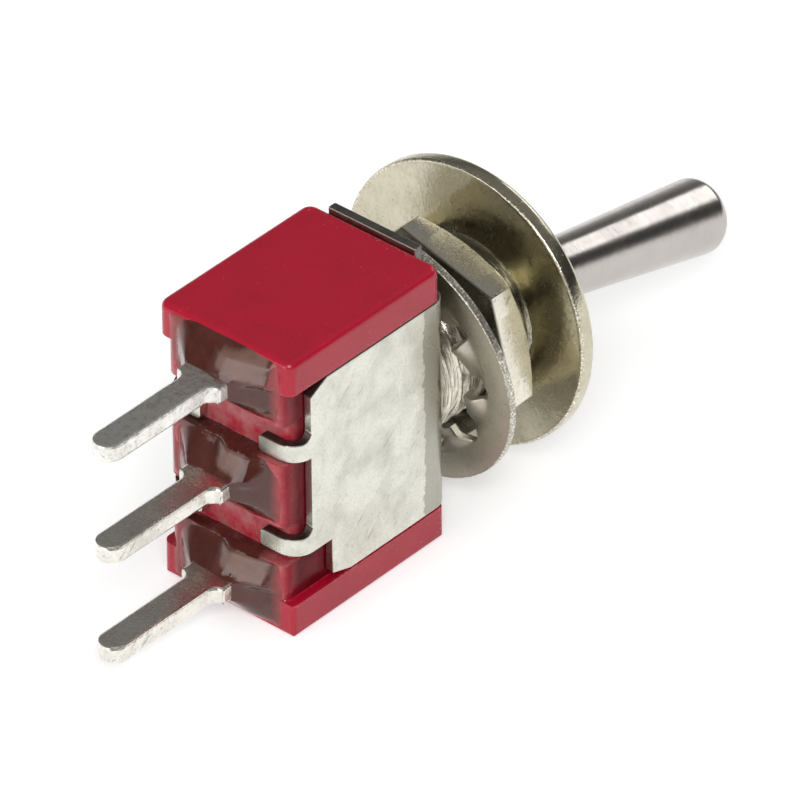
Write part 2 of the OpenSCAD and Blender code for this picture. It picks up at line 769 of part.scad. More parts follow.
// Lock washer with twisted teeth inside its ring
module lock_washer() {
    tip = bush_r + hardware_gap;
    root = lock_ring_d / 2;
    color("darkgray") translate([lock_x, 0, 0]) rotate([0, -lock_lean, -lock_swing])
        rotate([0, 90, 0]) difference() {
            union() {
                difference() {
                    cylinder(h = lock_t, r = lock_d / 2, center = true);
                    cylinder(h = lock_t + over, r = root, center = true);
                }
                for (i = [0 : lock_teeth - 1])
                    rotate([0, 0, lock_turn + i * 360 / lock_teeth]) rotate([tooth_twist, 0, 0])
                        linear_extrude(lock_t, center = true)
                            polygon([[tip - over, -tooth_w / 2], [root + lock_t, -tooth_root_w / 2],
                                     [root + lock_t, tooth_root_w / 2], [tip - over, tooth_w / 2]]);
            }
            cylinder(h = lock_d, r = tip, center = true);
        }
}

// Hexagon nut, chamfered on its front face only
module hex_nut() {
    corner_r = nut_af / sqrt(3);
    bore_r = bush_r + hardware_gap;
    chamfer_h = nut_t - nut_corner;
    color("gray") translate([nut_x, 0, 0]) difference() {
        intersection() {
            rotate([nut_turn, 0, 0]) prism_x(0, nut_t) circle(r = corner_r, $fn = 6);
            union() {
                bar_x(-over, nut_corner, corner_r);
                translate([nut_corner, 0, 0]) rotate([0, 90, 0])
                    cylinder(h = chamfer_h, r1 = corner_r, r2 = corner_r - chamfer_h / tan(nut_chamfer));
            }
        }
        bar_x(-over, nut_t + over, bore_r);
        for (m = [0, 1])
            translate([m * nut_t, 0, 0]) mirror([m, 0, 0]) rotate([0, 90, 0])
                cylinder(h = nut_sink, r1 = bore_r + nut_sink, r2 = bore_r);
    }
}

// Half section of the face washer without its hole, with a rounded rim
module face_outline() {
    rim_r = face_d / 2;
    difference() {
        translate([0, -face_t / 2]) square([rim_r, face_t]);
        translate([rim_r, face_t / 2]) rotate(180) fillet(face_front_r);
        translate([rim_r, -face_t / 2]) rotate(90) fillet(face_rear_r);
    }
}

// Face washer, punched off its centre, loose on the bush and leaning a little
module face_washer() {
    color("darkkhaki") translate([face_x, 0, 0]) rotate([0, face_lean, 0]) rotate([0, 90, 0])
        difference() {
            translate([-face_up, face_side, 0]) rotate_extrude() face_outline();
            cylinder(h = face_t + over, r = bush_r + face_gap, center = true);
        }
}

case();
bracket();
bushing();
lever();
cross_pin();
plunger();
plunger_spring();
rocker();
upper_moving_contact();
lower_moving_contact();
upper_fixed_contact();
lower_fixed_contact();
upper_terminal();
centre_terminal();
lower_terminal();
upper_seal();
centre_seal();
lower_seal();
lock_washer();
hex_nut();
face_washer();
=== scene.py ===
"""Looks of a miniature toggle switch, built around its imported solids.

The solids of the frame are in metres, with the bush along +X, the row of pins along Z and the origin on
the bush's axis at the bracket's front. Shapes here are written in millimetres in that same frame.
"""

from __future__ import annotations

import json
import logging
import math
from dataclasses import dataclass, field, replace
from enum import Enum
from functools import partial, reduce
from typing import Callable, Protocol, Sequence

import bmesh
import bpy
import numpy as np
from mathutils import Matrix, Vector

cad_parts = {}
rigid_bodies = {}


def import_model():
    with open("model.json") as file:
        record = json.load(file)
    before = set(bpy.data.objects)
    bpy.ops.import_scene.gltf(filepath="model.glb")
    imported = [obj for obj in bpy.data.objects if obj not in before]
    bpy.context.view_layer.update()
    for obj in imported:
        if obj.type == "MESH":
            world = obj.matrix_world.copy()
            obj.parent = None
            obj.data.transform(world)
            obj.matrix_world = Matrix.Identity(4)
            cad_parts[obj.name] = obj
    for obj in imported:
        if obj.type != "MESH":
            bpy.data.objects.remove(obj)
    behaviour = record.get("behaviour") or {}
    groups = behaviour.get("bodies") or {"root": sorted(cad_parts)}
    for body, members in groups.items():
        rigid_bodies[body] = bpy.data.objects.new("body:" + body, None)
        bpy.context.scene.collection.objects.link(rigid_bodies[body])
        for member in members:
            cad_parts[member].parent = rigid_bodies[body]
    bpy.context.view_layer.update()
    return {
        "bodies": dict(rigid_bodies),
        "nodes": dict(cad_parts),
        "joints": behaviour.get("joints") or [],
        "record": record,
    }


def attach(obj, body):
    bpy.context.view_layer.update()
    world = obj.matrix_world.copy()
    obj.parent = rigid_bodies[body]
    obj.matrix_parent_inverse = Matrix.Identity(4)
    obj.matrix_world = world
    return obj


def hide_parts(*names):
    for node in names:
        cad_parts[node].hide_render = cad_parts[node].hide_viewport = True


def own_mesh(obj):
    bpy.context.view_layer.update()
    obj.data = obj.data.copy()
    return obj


MM = 0.001
LOG = logging.getLogger("toggle_switch")

# Name of the number that a mesh carries at each point for film and skin.
COAT = "coat"
# Samples of the edge mask, and the likeness of normals where it starts and where it is full.
EDGE_SAMPLES = 4
EDGE_LIKENESS = (0.97, 0.75)
# Angles in degrees of an edge that is eased, of a face that counts as flat and of an edge that shades sharp.
SHARP_ANGLE = 25.0
FLAT_ANGLE = 0.3
SHADE_ANGLE = 20.0
# Lengths in metres under which points are welded and slivers are taken out.
WELD = 1e-7
SLIVER = 1e-6
# Least divisor.
LEAST = 1e-9
# Waves that are summed for a random height.
WAVES = 9

Colour = tuple[float, float, float]
Point = tuple[float, float, float]
Span = tuple[float, float]
Wave = tuple[float, float, int]
Socket = bpy.types.NodeSocket
Piece = bpy.types.Object


class Body(Enum):
    """Bodies of the frame that pieces ride on."""

    SWITCH = "switch_body"
    LEVER = "lever"


class Slot(Enum):
    """Material slots of the record that the pieces' finishes belong to."""

    CASE = "case_red"
    SEAL = "seal_resin"
    BRACKET = "bracket_tin"
    BUSH = "bush_nickel"
    LEVER = "lever_chrome"
    TERMINAL = "terminal_tin"
    WASHER = "washer_steel"
    NUT = "nut_nickel"
    FACE = "face_nickel"
    SPRING = "spring_steel"


class NodeSheet:
    """Node tree of a material or a world."""

    def __init__(self, owner: bpy.types.Material | bpy.types.World) -> None:
        """Empty the owner's tree.

        Args:
            owner: Material or world whose tree it is.
        """
        owner.use_nodes = True
        self.tree = owner.node_tree
        self.tree.nodes.clear()

    def fill(self, node: bpy.types.Node, inputs: dict[str | int, object]) -> None:
        """Link sockets to a node's inputs and set values on them.

        Args:
            node: Node to fill.
            inputs: Sockets and values, by the name or the number of the input.
        """
        for name, value in inputs.items():
            if isinstance(value, Socket):
                self.tree.links.new(value, node.inputs[name])
            else:
                node.inputs[name].default_value = value

    def node(self, kind: str, inputs: dict[str | int, object] | None = None,
             **settings: object) -> bpy.types.NodeOutputs:
        """Add a node.

        Args:
            kind: Kind of the node, without the prefix that all of them share.
            inputs: Sockets and values of its inputs, or None for none.
            settings: Its other settings.

        Returns:
            The node's outputs.
        """
        node = self.tree.nodes.new("ShaderNode" + kind)
        for name, value in settings.items():
            setattr(node, name, value)
        self.fill(node, inputs or {})
        return node.outputs

    def maths(self, kind: str, first: Socket, second: Socket | float = 0.0) -> Socket:
        """Result of one operation, such as MAXIMUM, on two values."""
        return self.node("Math", {0: first, 1: second}, operation=kind)[0]

    def times(self, *values: Socket | float) -> Socket:
        """Product of a socket and further values."""
        return reduce(partial(self.maths, "MULTIPLY"), values)

    def plus(self, *values: Socket | float) -> Socket:
        """Sum of a socket and further values."""
        return reduce(partial(self.maths, "ADD"), values)

    def remap(self, value: Socket, low: float, high: float, new_low: float = 0.0,
              new_high: float = 1.0) -> Socket:
        """Value mapped from the range low to high on to new_low to new_high, and clamped."""
        return self.node("MapRange", {"Value": value, "From Min": low, "From Max": high, "To Min": new_low,
                                      "To Max": new_high})["Result"]

    def blend(self, share: Socket, first: Colour | Socket, second: Colour | Socket) -> Socket:
        """Mix of two colours, sockets or numbers, by the share of the second."""
        ends = [(*end, 1.0) if isinstance(end, tuple) else end for end in (first, second)]
        return self.node("Mix", {0: share, 6: ends[0], 7: ends[1]}, data_type="RGBA")[2]

    def split(self, vector: Socket, axis: str) -> Socket:
        """Part of a vector along X, Y or Z."""
        return self.node("SeparateXYZ", {0: vector})[axis]


class ShaderSheet(NodeSheet):
    """Node tree of one procedural material, with lengths in millimetres."""

    def __init__(self, name: str) -> None:
        """Start a material with a principled shader.

        Args:
            name: Name of the material.
        """
        self.material = bpy.data.materials.new(name)
        super().__init__(self.material)
        self.shader = self.tree.nodes.new("ShaderNodeBsdfPrincipled")
        self.node("OutputMaterial", {"Surface": self.shader.outputs["BSDF"]})
        self.coords = self.node("TexCoord")["Object"]

    def place(self, stretch: Point = (1, 1, 1), turn: Point = (0, 0, 0)) -> Socket:
        """Coordinates in millimetres, turned and then stretched.

        Args:
            stretch: Factors on the three axes.
            turn: Turn about the three axes in degrees.

        Returns:
            The vector socket.
        """
        turned = self.node("Mapping", {"Vector": self.coords, "Rotation": [math.radians(a) for a in turn]})
        scaled = self.node("Mapping", {"Vector": turned["Vector"], "Scale": [s / MM for s in stretch]})
        return scaled["Vector"]

    def noise(self, scale: float, detail: float = 3.0, rough: float = 0.5, warp: float = 0.0,
              at: Socket | None = None) -> Socket:
        """Cloudy noise, by its clouds per millimetre, octaves, their strength, distortion and coordinates."""
        return self.node("TexNoise", {"Vector": at or self.place(), "Scale": scale, "Detail": detail,
                                      "Roughness": rough, "Distortion": warp})["Fac"]

    def cells(self, scale: float) -> Socket:
        """Distance to the nearest of scattered points, by their number per millimetre."""
        return self.node("TexVoronoi", {"Vector": self.place(), "Scale": scale})["Distance"]

    def along(self, axis: str) -> Socket:
        """Place along X, Y or Z in millimetres."""
        return self.split(self.place(), axis)

    def within(self, axis: str, limit: float, fade: float) -> Socket:
        """Mask that is 1 near an axis's middle and fades over a length to 0 at a limit on both sides."""
        return self.remap(self.maths("ABSOLUTE", self.along(axis)), limit, limit - fade)

    def facing(self, axis: str) -> Socket:
        """Share of the surface's normal along X, Y or Z."""
        return self.split(self.node("NewGeometry")["Normal"], axis)

    def distance(self, point: Point) -> Socket:
        """Distance from a point in millimetres."""
        return self.node("VectorMath", {0: self.place(), 1: point}, operation="DISTANCE")["Value"]

    def value(self, name: str) -> Socket:
        """Number that the mesh carries at each point."""
        return self.node("Attribute", attribute_name=name)["Fac"]

    def edges(self, radius: float) -> Socket:
        """Mask that is high along sharp edges.

        Args:
            radius: Reach of the mask from an edge, in millimetres.

        Returns:
            The mask socket.
        """
        soft = self.node("Bevel", {"Radius": radius * MM}, samples=EDGE_SAMPLES)["Normal"]
        plain = self.node("NewGeometry")["Normal"]
        likeness = self.node("VectorMath", {0: soft, 1: plain}, operation="DOT_PRODUCT")["Value"]
        return self.remap(likeness, *EDGE_LIKENESS)

    def bump(self, *layers: tuple[Socket, float]) -> None:
        """Raise the surface by several height layers.

        Args:
            layers: Pairs of a height socket from 0 to 1 and its depth in millimetres.
        """
        under: dict[str, Socket] = {}
        for height, depth in layers:
            raised = self.node("Bump", {"Strength": 1.0, "Distance": depth * MM, "Height": height, **under})
            under = {"Normal": raised["Normal"]}
        self.feed(**under)

    def feed(self, **values: Socket | float) -> None:
        """Fill the shader's inputs, with underscores for spaces in their names."""
        self.fill(self.shader, {name.replace("_", " "): value for name, value in values.items()})


class Finish(Protocol):
    """Anything that can make the material of a piece."""

    name: str

    def material(self) -> bpy.types.Material:
        """Make the material."""


@dataclass(frozen=True)
class MouldedPlastic:
    """Moulded plastic with a satin skin, flow marks, edges paler from wear and painted highlight, and
    optional spilt resin.
    """

    name: str
    colour: Colour
    deep: Colour
    edge: Colour
    scuff: Colour
    roughness: float = 0.2
    grain: float = 14.0
    speck: float = 0.35
    edge_wear_and_shine_reach: float = 0.16
    scuff_reach: float = 0.3
    scuff_front: Span = (-1.0, -0.5)
    # Resin smear on the pin end's grooves, painted paler than it is as its sheen.
    haze: Colour | None = None
    spill: Colour = (0.0, 0.0, 0.0)
    spill_x: Span = (-7.6, -8.3)
    spill_half: Span = (3.0, 4.9)
    ledge_half: float = 2.2
    wet: float = -0.18
    # Painted shade on the blocks' side walls beside the bracket: its colour, its reach along X and across,
    # and its specular.
    wall_shade: Colour = (0.10, 0.003, 0.007)
    wall_shade_x: Span = (-8.75, -8.25)
    wall_shade_half: Span = (3.05, 4.87)
    wall_shade_specular: Span = (0.5, 0.08)

    def material(self) -> bpy.types.Material:
        """Make the material.

        Returns:
            The material.
        """
        sheet = ShaderSheet(self.name)
        flow = sheet.noise(0.55, 4, 0.55, 0.6)
        tone = sheet.blend(sheet.remap(flow, 0.35, 0.7), self.colour, self.deep)
        speck = sheet.remap(sheet.noise(9, 2), 0.71, 0.76, 0, self.speck)
        tone = sheet.blend(speck, tone, self.edge)
        # Edges lightened towards the edge colour, partly as wear and partly as painted edge highlights.
        rim = sheet.times(sheet.edges(self.edge_wear_and_shine_reach), sheet.remap(sheet.noise(2.2), 0.4, 0.65, 0.12, 0.6))
        tone = sheet.blend(rim, tone, self.edge)
        chip = sheet.plus(sheet.remap(sheet.edges(self.scuff_reach), 0, 1, 0, 0.14), sheet.noise(6, 4, 0.75),
                          sheet.remap(sheet.along("X"), *self.scuff_front, 0, 0.12))
        chip = sheet.times(sheet.remap(chip, 0.66, 0.74), sheet.remap(sheet.noise(0.6), 0.42, 0.56, 0, 0.6))
        tone = sheet.blend(chip, tone, self.scuff)
        polish = sheet.plus(sheet.remap(flow, 0.3, 0.7, 0, 0.08), sheet.remap(speck, 0, self.speck, 0, 0.1),
                            self.roughness)
        if self.haze is not None:
            tone, polish = self._spilt(sheet, tone, polish)
        sheet.feed(Base_Color=tone, Roughness=polish)
        sheet.bump((sheet.noise(self.grain, 2), 0.003), (flow, 0.02))
        return sheet.material

    def _spilt(self, sheet: ShaderSheet, tone: Socket, polish: Socket) -> tuple[Socket, Socket]:
        """Lay a resin haze, painted paler as its sheen, over the pin end's grooves, a wet film over their
        ledges, and painted shade on the walls beside the bracket.

        Args:
            sheet: Sheet of the material.
            tone: Colour so far.
            polish: Roughness so far.

        Returns:
            The new colour and roughness.
        """
        side = sheet.remap(sheet.maths("ABSOLUTE", sheet.facing("Y")), 0.3, 0.9)
        zone = sheet.times(sheet.remap(sheet.along("X"), *self.spill_x),
                           *(sheet.within(axis, half, 0.12) for axis, half in zip("YZ", self.spill_half)),
                           sheet.remap(side, 0, 1, 1, 0.1))
        # Painted shade: the blocks' side walls beside the bracket are darkened, more towards the plate, and
        # their specular is turned down.
        side = sheet.times(side,
                           *(sheet.within(axis, half, 0.05) for axis, half in zip("YZ", self.wall_shade_half)),
                           sheet.remap(sheet.noise(1.2, 3), 0.35, 0.65, 0.85, 1.0),
                           sheet.remap(sheet.along("X"), *self.wall_shade_x, 0.6, 1.0))
        tone = sheet.blend(side, tone, self.wall_shade)
        sheet.feed(Specular_IOR_Level=sheet.remap(side, 0, 1, *self.wall_shade_specular))
        # Resin smear over the grooves, painted paler as the sheen it shows.
        cloud = sheet.remap(sheet.noise(1.4, 4, 0.6), 0.36, 0.6, 0.1, 0.8)
        tone = sheet.blend(sheet.times(zone, cloud), tone, self.haze)
        ledge = sheet.times(zone, sheet.remap(sheet.facing("Z"), 0.4, 0.75),
                            sheet.within("Y", self.ledge_half, 0.7),
                            sheet.remap(sheet.noise(1.1, 3), 0.3, 0.5, 0.55, 1.0))
        tone = sheet.blend(ledge, tone, self.spill)
        return tone, sheet.plus(polish, sheet.times(ledge, self.wet))


@dataclass(frozen=True)
class PouredResin:
    """Glossy cast resin, dark where deep, redder where it thins to a film and dull where it set open."""

    name: str
    colour: Colour
    deep: Colour
    film: Colour
    skin: Colour
    roughness: float = 0.11
    skin_roughness: float = 0.27
    bubble: float = 0.14
    ior: float = 1.56

    def material(self) -> bpy.types.Material:
        """Make the material.

        Returns:
            The material.
        """
        sheet = ShaderSheet(self.name)
        cloud = sheet.noise(1.1, 4, 0.6, 0.5)
        tone = sheet.blend(sheet.remap(cloud, 0.35, 0.68), self.deep, self.colour)
        coat = sheet.value(COAT)
        film = sheet.times(sheet.remap(coat, 0, 1), sheet.remap(sheet.noise(2.0, 3), 0.3, 0.6, 0.6, 1.0))
        dull = sheet.plus(sheet.remap(coat, 0, -1),
                          sheet.remap(sheet.noise(1.8, 4, 0.6), 0.3, 0.7, -0.4, 0.2))
        dull = sheet.times(sheet.remap(dull, 0.0, 0.95), sheet.remap(coat, 0, -0.3))
        tone = sheet.blend(dull, sheet.blend(film, tone, self.film), self.skin)
        polish = sheet.remap(sheet.noise(3), 0.3, 0.7, self.roughness * 0.6, self.roughness * 1.5)
        polish = sheet.plus(polish, sheet.times(dull, self.skin_roughness))
        sheet.feed(Base_Color=tone, Roughness=polish, IOR=self.ior)
        bubbles = sheet.remap(sheet.cells(1.6), 0.0, self.bubble, 1, 0)
        sheet.bump((sheet.noise(1.2, 2), 0.03), (bubbles, 0.012), (sheet.noise(9, 2), 0.002))
        return sheet.material


@dataclass(frozen=True)
class PlatedMetal:
    """Plated metal with clouded polish, fine grain, scratches, specks, edges lightened as wear and as painted
    highlight, and optional bands of painted shade.
    """

    name: str
    colour: Colour
    stain: Colour
    roughness: float
    cloud_scale: float = 0.8
    cloud: float = 0.35
    grain_scale: float = 10.0
    grain: float = 0.003
    grain_stretch: Point = (1, 1, 1)
    grain_turn: Point = (0, 0, 0)
    grain_tone: float = 0.35
    scratch: float = 0.4
    scratches: tuple[tuple[Point, Point], ...] = (((0.5, 9, 9), (20, 15, 35)), ((0.4, 7, 7), (-35, 40, -20)))
    polish_spread: float = 0.12
    wear_and_shine: float = 0.5
    wear_and_shine_reach: float = 0.05
    wear_and_shine_tone: Colour = (0.9, 0.88, 0.82)
    pocks: float = 0.0
    pock_scale: float = 5.0
    pock_size: float = 0.22
    shade_band: Span | None = None
    shade_band_tone: Colour = (0.27, 0.265, 0.225)
    rim: tuple[Point, float] | None = None
    rim_bright: Colour = (0.92, 0.9, 0.84)
    pit: Point | None = None
    pit_size: float = 0.1
    pit_tone: Colour = (0.04, 0.035, 0.025)
    swell: float = 0.01

    def material(self) -> bpy.types.Material:
        """Make the material.

        Returns:
            The material.
        """
        sheet = ShaderSheet(self.name)
        cloud = sheet.noise(self.cloud_scale, 5, 0.6, 0.3)
        grain = sheet.noise(self.grain_scale, 3, 0.6, at=sheet.place(self.grain_stretch, self.grain_turn))
        lines = [sheet.remap(sheet.noise(1, 2, 0.5, at=sheet.place(*way)), 0.64, 0.7)
                 for way in self.scratches]
        scar = sheet.times(sheet.maths("MAXIMUM", *lines), sheet.remap(cloud, 0.4, 0.6, 0, self.scratch))
        tone = sheet.blend(sheet.remap(cloud, 0.42, 0.75, 0, self.cloud), self.colour, self.stain)
        tone = sheet.blend(sheet.remap(grain, 0.5, 0.75, 0, self.grain_tone), tone, self.stain)
        tone = sheet.blend(scar, tone, self.stain)
        # Edges lightened, partly as wear and partly as painted edge highlights.
        worn_and_shine = sheet.times(sheet.edges(self.wear_and_shine_reach),
                           sheet.remap(sheet.noise(3.0), 0.4, 0.6, 0.1, self.wear_and_shine))
        tone = sheet.blend(worn_and_shine, tone, self.wear_and_shine_tone)
        layers = [(grain, self.grain), (scar, 0.006), (cloud, self.swell)]
        if self.pocks:
            layers.append((sheet.remap(sheet.cells(self.pock_scale), 0.0, self.pock_size, -1, 0), self.pocks))
        # Painted shade: a band along X, with a ragged start, where nearby parts shade the surface or are
        # darkly mirrored in it.
        if self.shade_band is not None:
            start, end = self.shade_band
            torn = sheet.plus(sheet.along("X"), sheet.times(sheet.noise(1.7, 5, 0.7), 0.9))
            zone = sheet.maths("MINIMUM", sheet.remap(torn, start + 0.43, start + 0.48, 0, 0.85),
                               sheet.remap(sheet.along("X"), end + 0.1, end))
            tone = sheet.blend(zone, tone, self.shade_band_tone)
        if self.rim is not None:
            middle, reach = self.rim
            zone = sheet.remap(sheet.distance(middle), reach, reach + 0.06)
            tooth = sheet.noise(11, 2, 0.6)
            tone = sheet.blend(sheet.times(zone, sheet.remap(tooth, 0.35, 0.52, 0.7, 0)), tone, self.stain)
            tone = sheet.blend(sheet.times(zone, sheet.remap(tooth, 0.54, 0.62)), tone, self.rim_bright)
            layers.append((sheet.times(zone, tooth), 0.02))
        if self.pit is not None:
            hole = sheet.remap(sheet.distance(self.pit), self.pit_size, self.pit_size * 0.4)
            tone = sheet.blend(hole, tone, self.pit_tone)
            layers.append((sheet.times(hole, -1.0), 0.04))
        spread = self.polish_spread / 2
        haze = sheet.remap(cloud, 0.3, 0.7, self.roughness - spread, self.roughness + spread)
        sheet.feed(Base_Color=tone, Metallic=1.0, Roughness=sheet.plus(haze, sheet.times(scar, 0.3)))
        sheet.bump(*layers)
        return sheet.material


# The edge colour lightens edges and specks, as wear, dust and painted edge highlight.
CASE_PLASTIC = MouldedPlastic("moulded_red", (0.42, 0.005, 0.027), (0.37, 0.004, 0.021), (0.55, 0.06, 0.085),
                              # The haze is a resin smear, painted paler as its sheen.
                              (0.66, 0.34, 0.34), haze=(0.43, 0.14, 0.14), spill=(0.085, 0.027, 0.021))
SEAL_RESIN = PouredResin("poured_resin", (0.085, 0.022, 0.016), (0.055, 0.014, 0.010), (0.36, 0.04, 0.045),
                         (0.165, 0.088, 0.07))
# Its band is a painted dark reflection of the washers in the bracket's front bend.
BRACKET_TIN = PlatedMetal("bracket_tin", (0.75, 0.745, 0.67), (0.36, 0.355, 0.29), 0.3, scratch=0.5,
                          grain=0.002, cloud=0.5, cloud_scale=0.7, shade_band=(-1.5, 1.0),
                          shade_band_tone=(0.37, 0.36, 0.305), swell=0.003)
BRACKET_CUT = PlatedMetal("bracket_cut_edge", (0.25, 0.24, 0.215), (0.09, 0.085, 0.075), 0.42,
                          grain_scale=3.0, grain_stretch=(1.2, 1.2, 9), grain=0.012, grain_tone=0.8,
                          cloud=0.6)
# Slot edges beside the case: the sheared edge painted darker as the shade in the gap.
BRACKET_SLOT_SHADE = replace(BRACKET_CUT, name="bracket_slot_edge_shade", colour=(0.14, 0.115, 0.1),
                       stain=(0.05, 0.04, 0.034), roughness=0.45, wear_and_shine=0.2)
# Its band is painted shade on the thread between the nut and the face washer.
BUSH_NICKEL = PlatedMetal("bush_nickel", (0.80, 0.77, 0.67), (0.16, 0.14, 0.11), 0.18, grain_scale=1.5,
                          grain_stretch=(14, 0.5, 0.5), grain=0.02, grain_tone=1.0, shade_band=(3.3, 5.1),
                          shade_band_tone=(0.24, 0.22, 0.14))
LEVER_PLATE = PlatedMetal("lever_plate", (0.53, 0.497, 0.47), (0.38, 0.355, 0.33), 0.23, cloud=0.25,
                          scratch=0.04, grain_scale=1.5, grain_stretch=(9, 0.7, 0.7), grain_turn=(0, -13, 0),
                          grain=0.004, grain_tone=0.15, polish_spread=0.06)
# Lighter and matter copy of the terminals' tin for the upper pin; its lighter colour is painted light.
PIN_TIN_LIT = PlatedMetal("pin_tin_painted_light", (0.94, 0.92, 0.87), (0.42, 0.41, 0.385), 0.32, grain_scale=5,
                       grain=0.03, cloud=0.35, grain_tone=0.7, scratch=0.7)
PIN_TIN = PlatedMetal("pin_tin", (0.90, 0.88, 0.81), (0.42, 0.40, 0.36), 0.25, grain_scale=6, grain=0.01,
                      cloud=0.5, grain_tone=0.4, scratch=0.8)
WASHER_STEEL = PlatedMetal("washer_steel", (0.53, 0.50, 0.42), (0.28, 0.255, 0.20), 0.4, grain=0.006,
                           wear_and_shine=0.5, pocks=0.005, rim=((1.17, 0.0, 0.0), 5.53))
# Its band is painted shade on the nut's rear face, beside the lock washer.
NUT_NICKEL = PlatedMetal("nut_nickel", (0.80, 0.765, 0.66), (0.44, 0.41, 0.34), 0.26, scratch=0.8,
                         grain=0.008, cloud=0.2, wear_and_shine=0.6, pocks=0.003, shade_band=(0.5, 2.41),
                         shade_band_tone=(0.12, 0.11, 0.085))
FACE_NICKEL = PlatedMetal("face_nickel", (0.62, 0.58, 0.45), (0.36, 0.325, 0.235), 0.2, grain_scale=5,
                          grain=0.007, cloud=0.35, wear_and_shine=0.5, rim=((12.99, 0.19, -0.14), 10.06),
                          pit=(4.87, 4.195, 3.313))
PIN_STEEL = PlatedMetal("cross_pin_steel", (0.5, 0.5, 0.5), (0.3, 0.3, 0.3), 0.3)
SPRING_STEEL = PlatedMetal("spring_steel", (0.45, 0.45, 0.46), (0.25, 0.25, 0.25), 0.3)
ROCKER_COPPER = PlatedMetal("rocker_copper", (0.72, 0.42, 0.26), (0.4, 0.2, 0.12), 0.3)
CONTACT_SILVER = PlatedMetal("contact_silver", (0.85, 0.85, 0.83), (0.5, 0.48, 0.42), 0.25)
PLUNGER_NYLON = MouldedPlastic("plunger_nylon", (0.78, 0.74, 0.62), (0.7, 0.66, 0.52), (0.85, 0.82, 0.74),
                               (0.88, 0.86, 0.8))


def put(name: str, data: bpy.types.ID) -> Piece:
    """Make an object of its data and link it to the scene.

    Args:
        name: Name of the object.
        data: Its mesh, lamp or camera.

    Returns:
        The object.
    """
    made = bpy.data.objects.new(name, data)
    bpy.context.scene.collection.objects.link(made)
    return made


def shaded(work: bmesh.types.BMesh, mesh: bpy.types.Mesh, crease: float) -> bpy.types.Mesh:
    """Write worked faces to a mesh that shades smooth, and sharp above an angle in degrees.

    Args:
        work: Worked faces, which are freed.
        mesh: Mesh to write to.
        crease: Angle above which an edge shades sharp.

    Returns:
        The mesh.
    """
    work.to_mesh(mesh)
    work.free()
    mesh.shade_smooth()
    mesh.set_sharp_from_angle(angle=math.radians(crease))
    return mesh


class Shell:
    """Points and faces of one piece, in millimetres."""

    def __init__(self) -> None:
        """Start with no points."""
        self.points: list[np.ndarray] = []
        self.faces: list[tuple[int, ...]] = []
        self.coats: list[np.ndarray] = []
        self.count = 0

    def add(self, points: np.ndarray, faces: Sequence[tuple[int, ...]],
            coat: np.ndarray | None = None) -> None:
        """Add points with the faces between them.

        Args:
            points: Array whose last axis is X, Y and Z.
            faces: Faces as places in that array, flattened.
            coat: 1 for a thin film at a point, -1 for a dull skin, or None for neither.
        """
        flat = np.asarray(points, float).reshape(-1, 3)
        self.faces += [tuple(i + self.count for i in face) for face in faces]
        self.points.append(flat)
        self.coats.append(np.zeros(len(flat)) if coat is None else np.asarray(coat, float).reshape(-1))
        self.count += len(flat)

    def loft(self, rings: np.ndarray, looped: bool = False) -> None:
        """Add a skin over a row of closed rings.

        Args:
            rings: Array of rings by points by X, Y and Z.
            looped: Join the last ring to the first, instead of capping both.
        """
        rows, sides = rings.shape[:2]
        faces: list[tuple[int, ...]] = []
        for i in range(rows if looped else rows - 1):
            low, high = i * sides, (i + 1) % rows * sides
            faces += [(low + k, low + (k + 1) % sides, high + (k + 1) % sides, high + k)
                      for k in range(sides)]
        if not looped:
            faces += [tuple(range(sides))[::-1], tuple(range((rows - 1) * sides, rows * sides))]
        self.add(rings, faces)

    def mesh(self, name: str, place: Matrix | None = None, crease: float = 30.0) -> bpy.types.Mesh:
        """Turn the shell into a mesh in metres.

        Args:
            name: Name of the mesh.
            place: Turn and shift in millimetres, or None for none.
            crease: Angle in degrees above which an edge shades sharp.

        Returns:
            The mesh.
        """
        points = np.concatenate(self.points)
        if place is not None:
            turn = np.array(place)
            points = points @ turn[:3, :3].T + turn[:3, 3]
        mesh = bpy.data.meshes.new(name)
        mesh.from_pydata((points * MM).tolist(), [], self.faces)
        coat = np.concatenate(self.coats)
        if coat.any():
            mesh.attributes.new(COAT, "FLOAT", "POINT").data.foreach_set("value", coat.astype(np.float32))
        work = bmesh.new()
        work.from_mesh(mesh)
        bmesh.ops.recalc_face_normals(work, faces=work.faces)
        return shaded(work, mesh, crease)


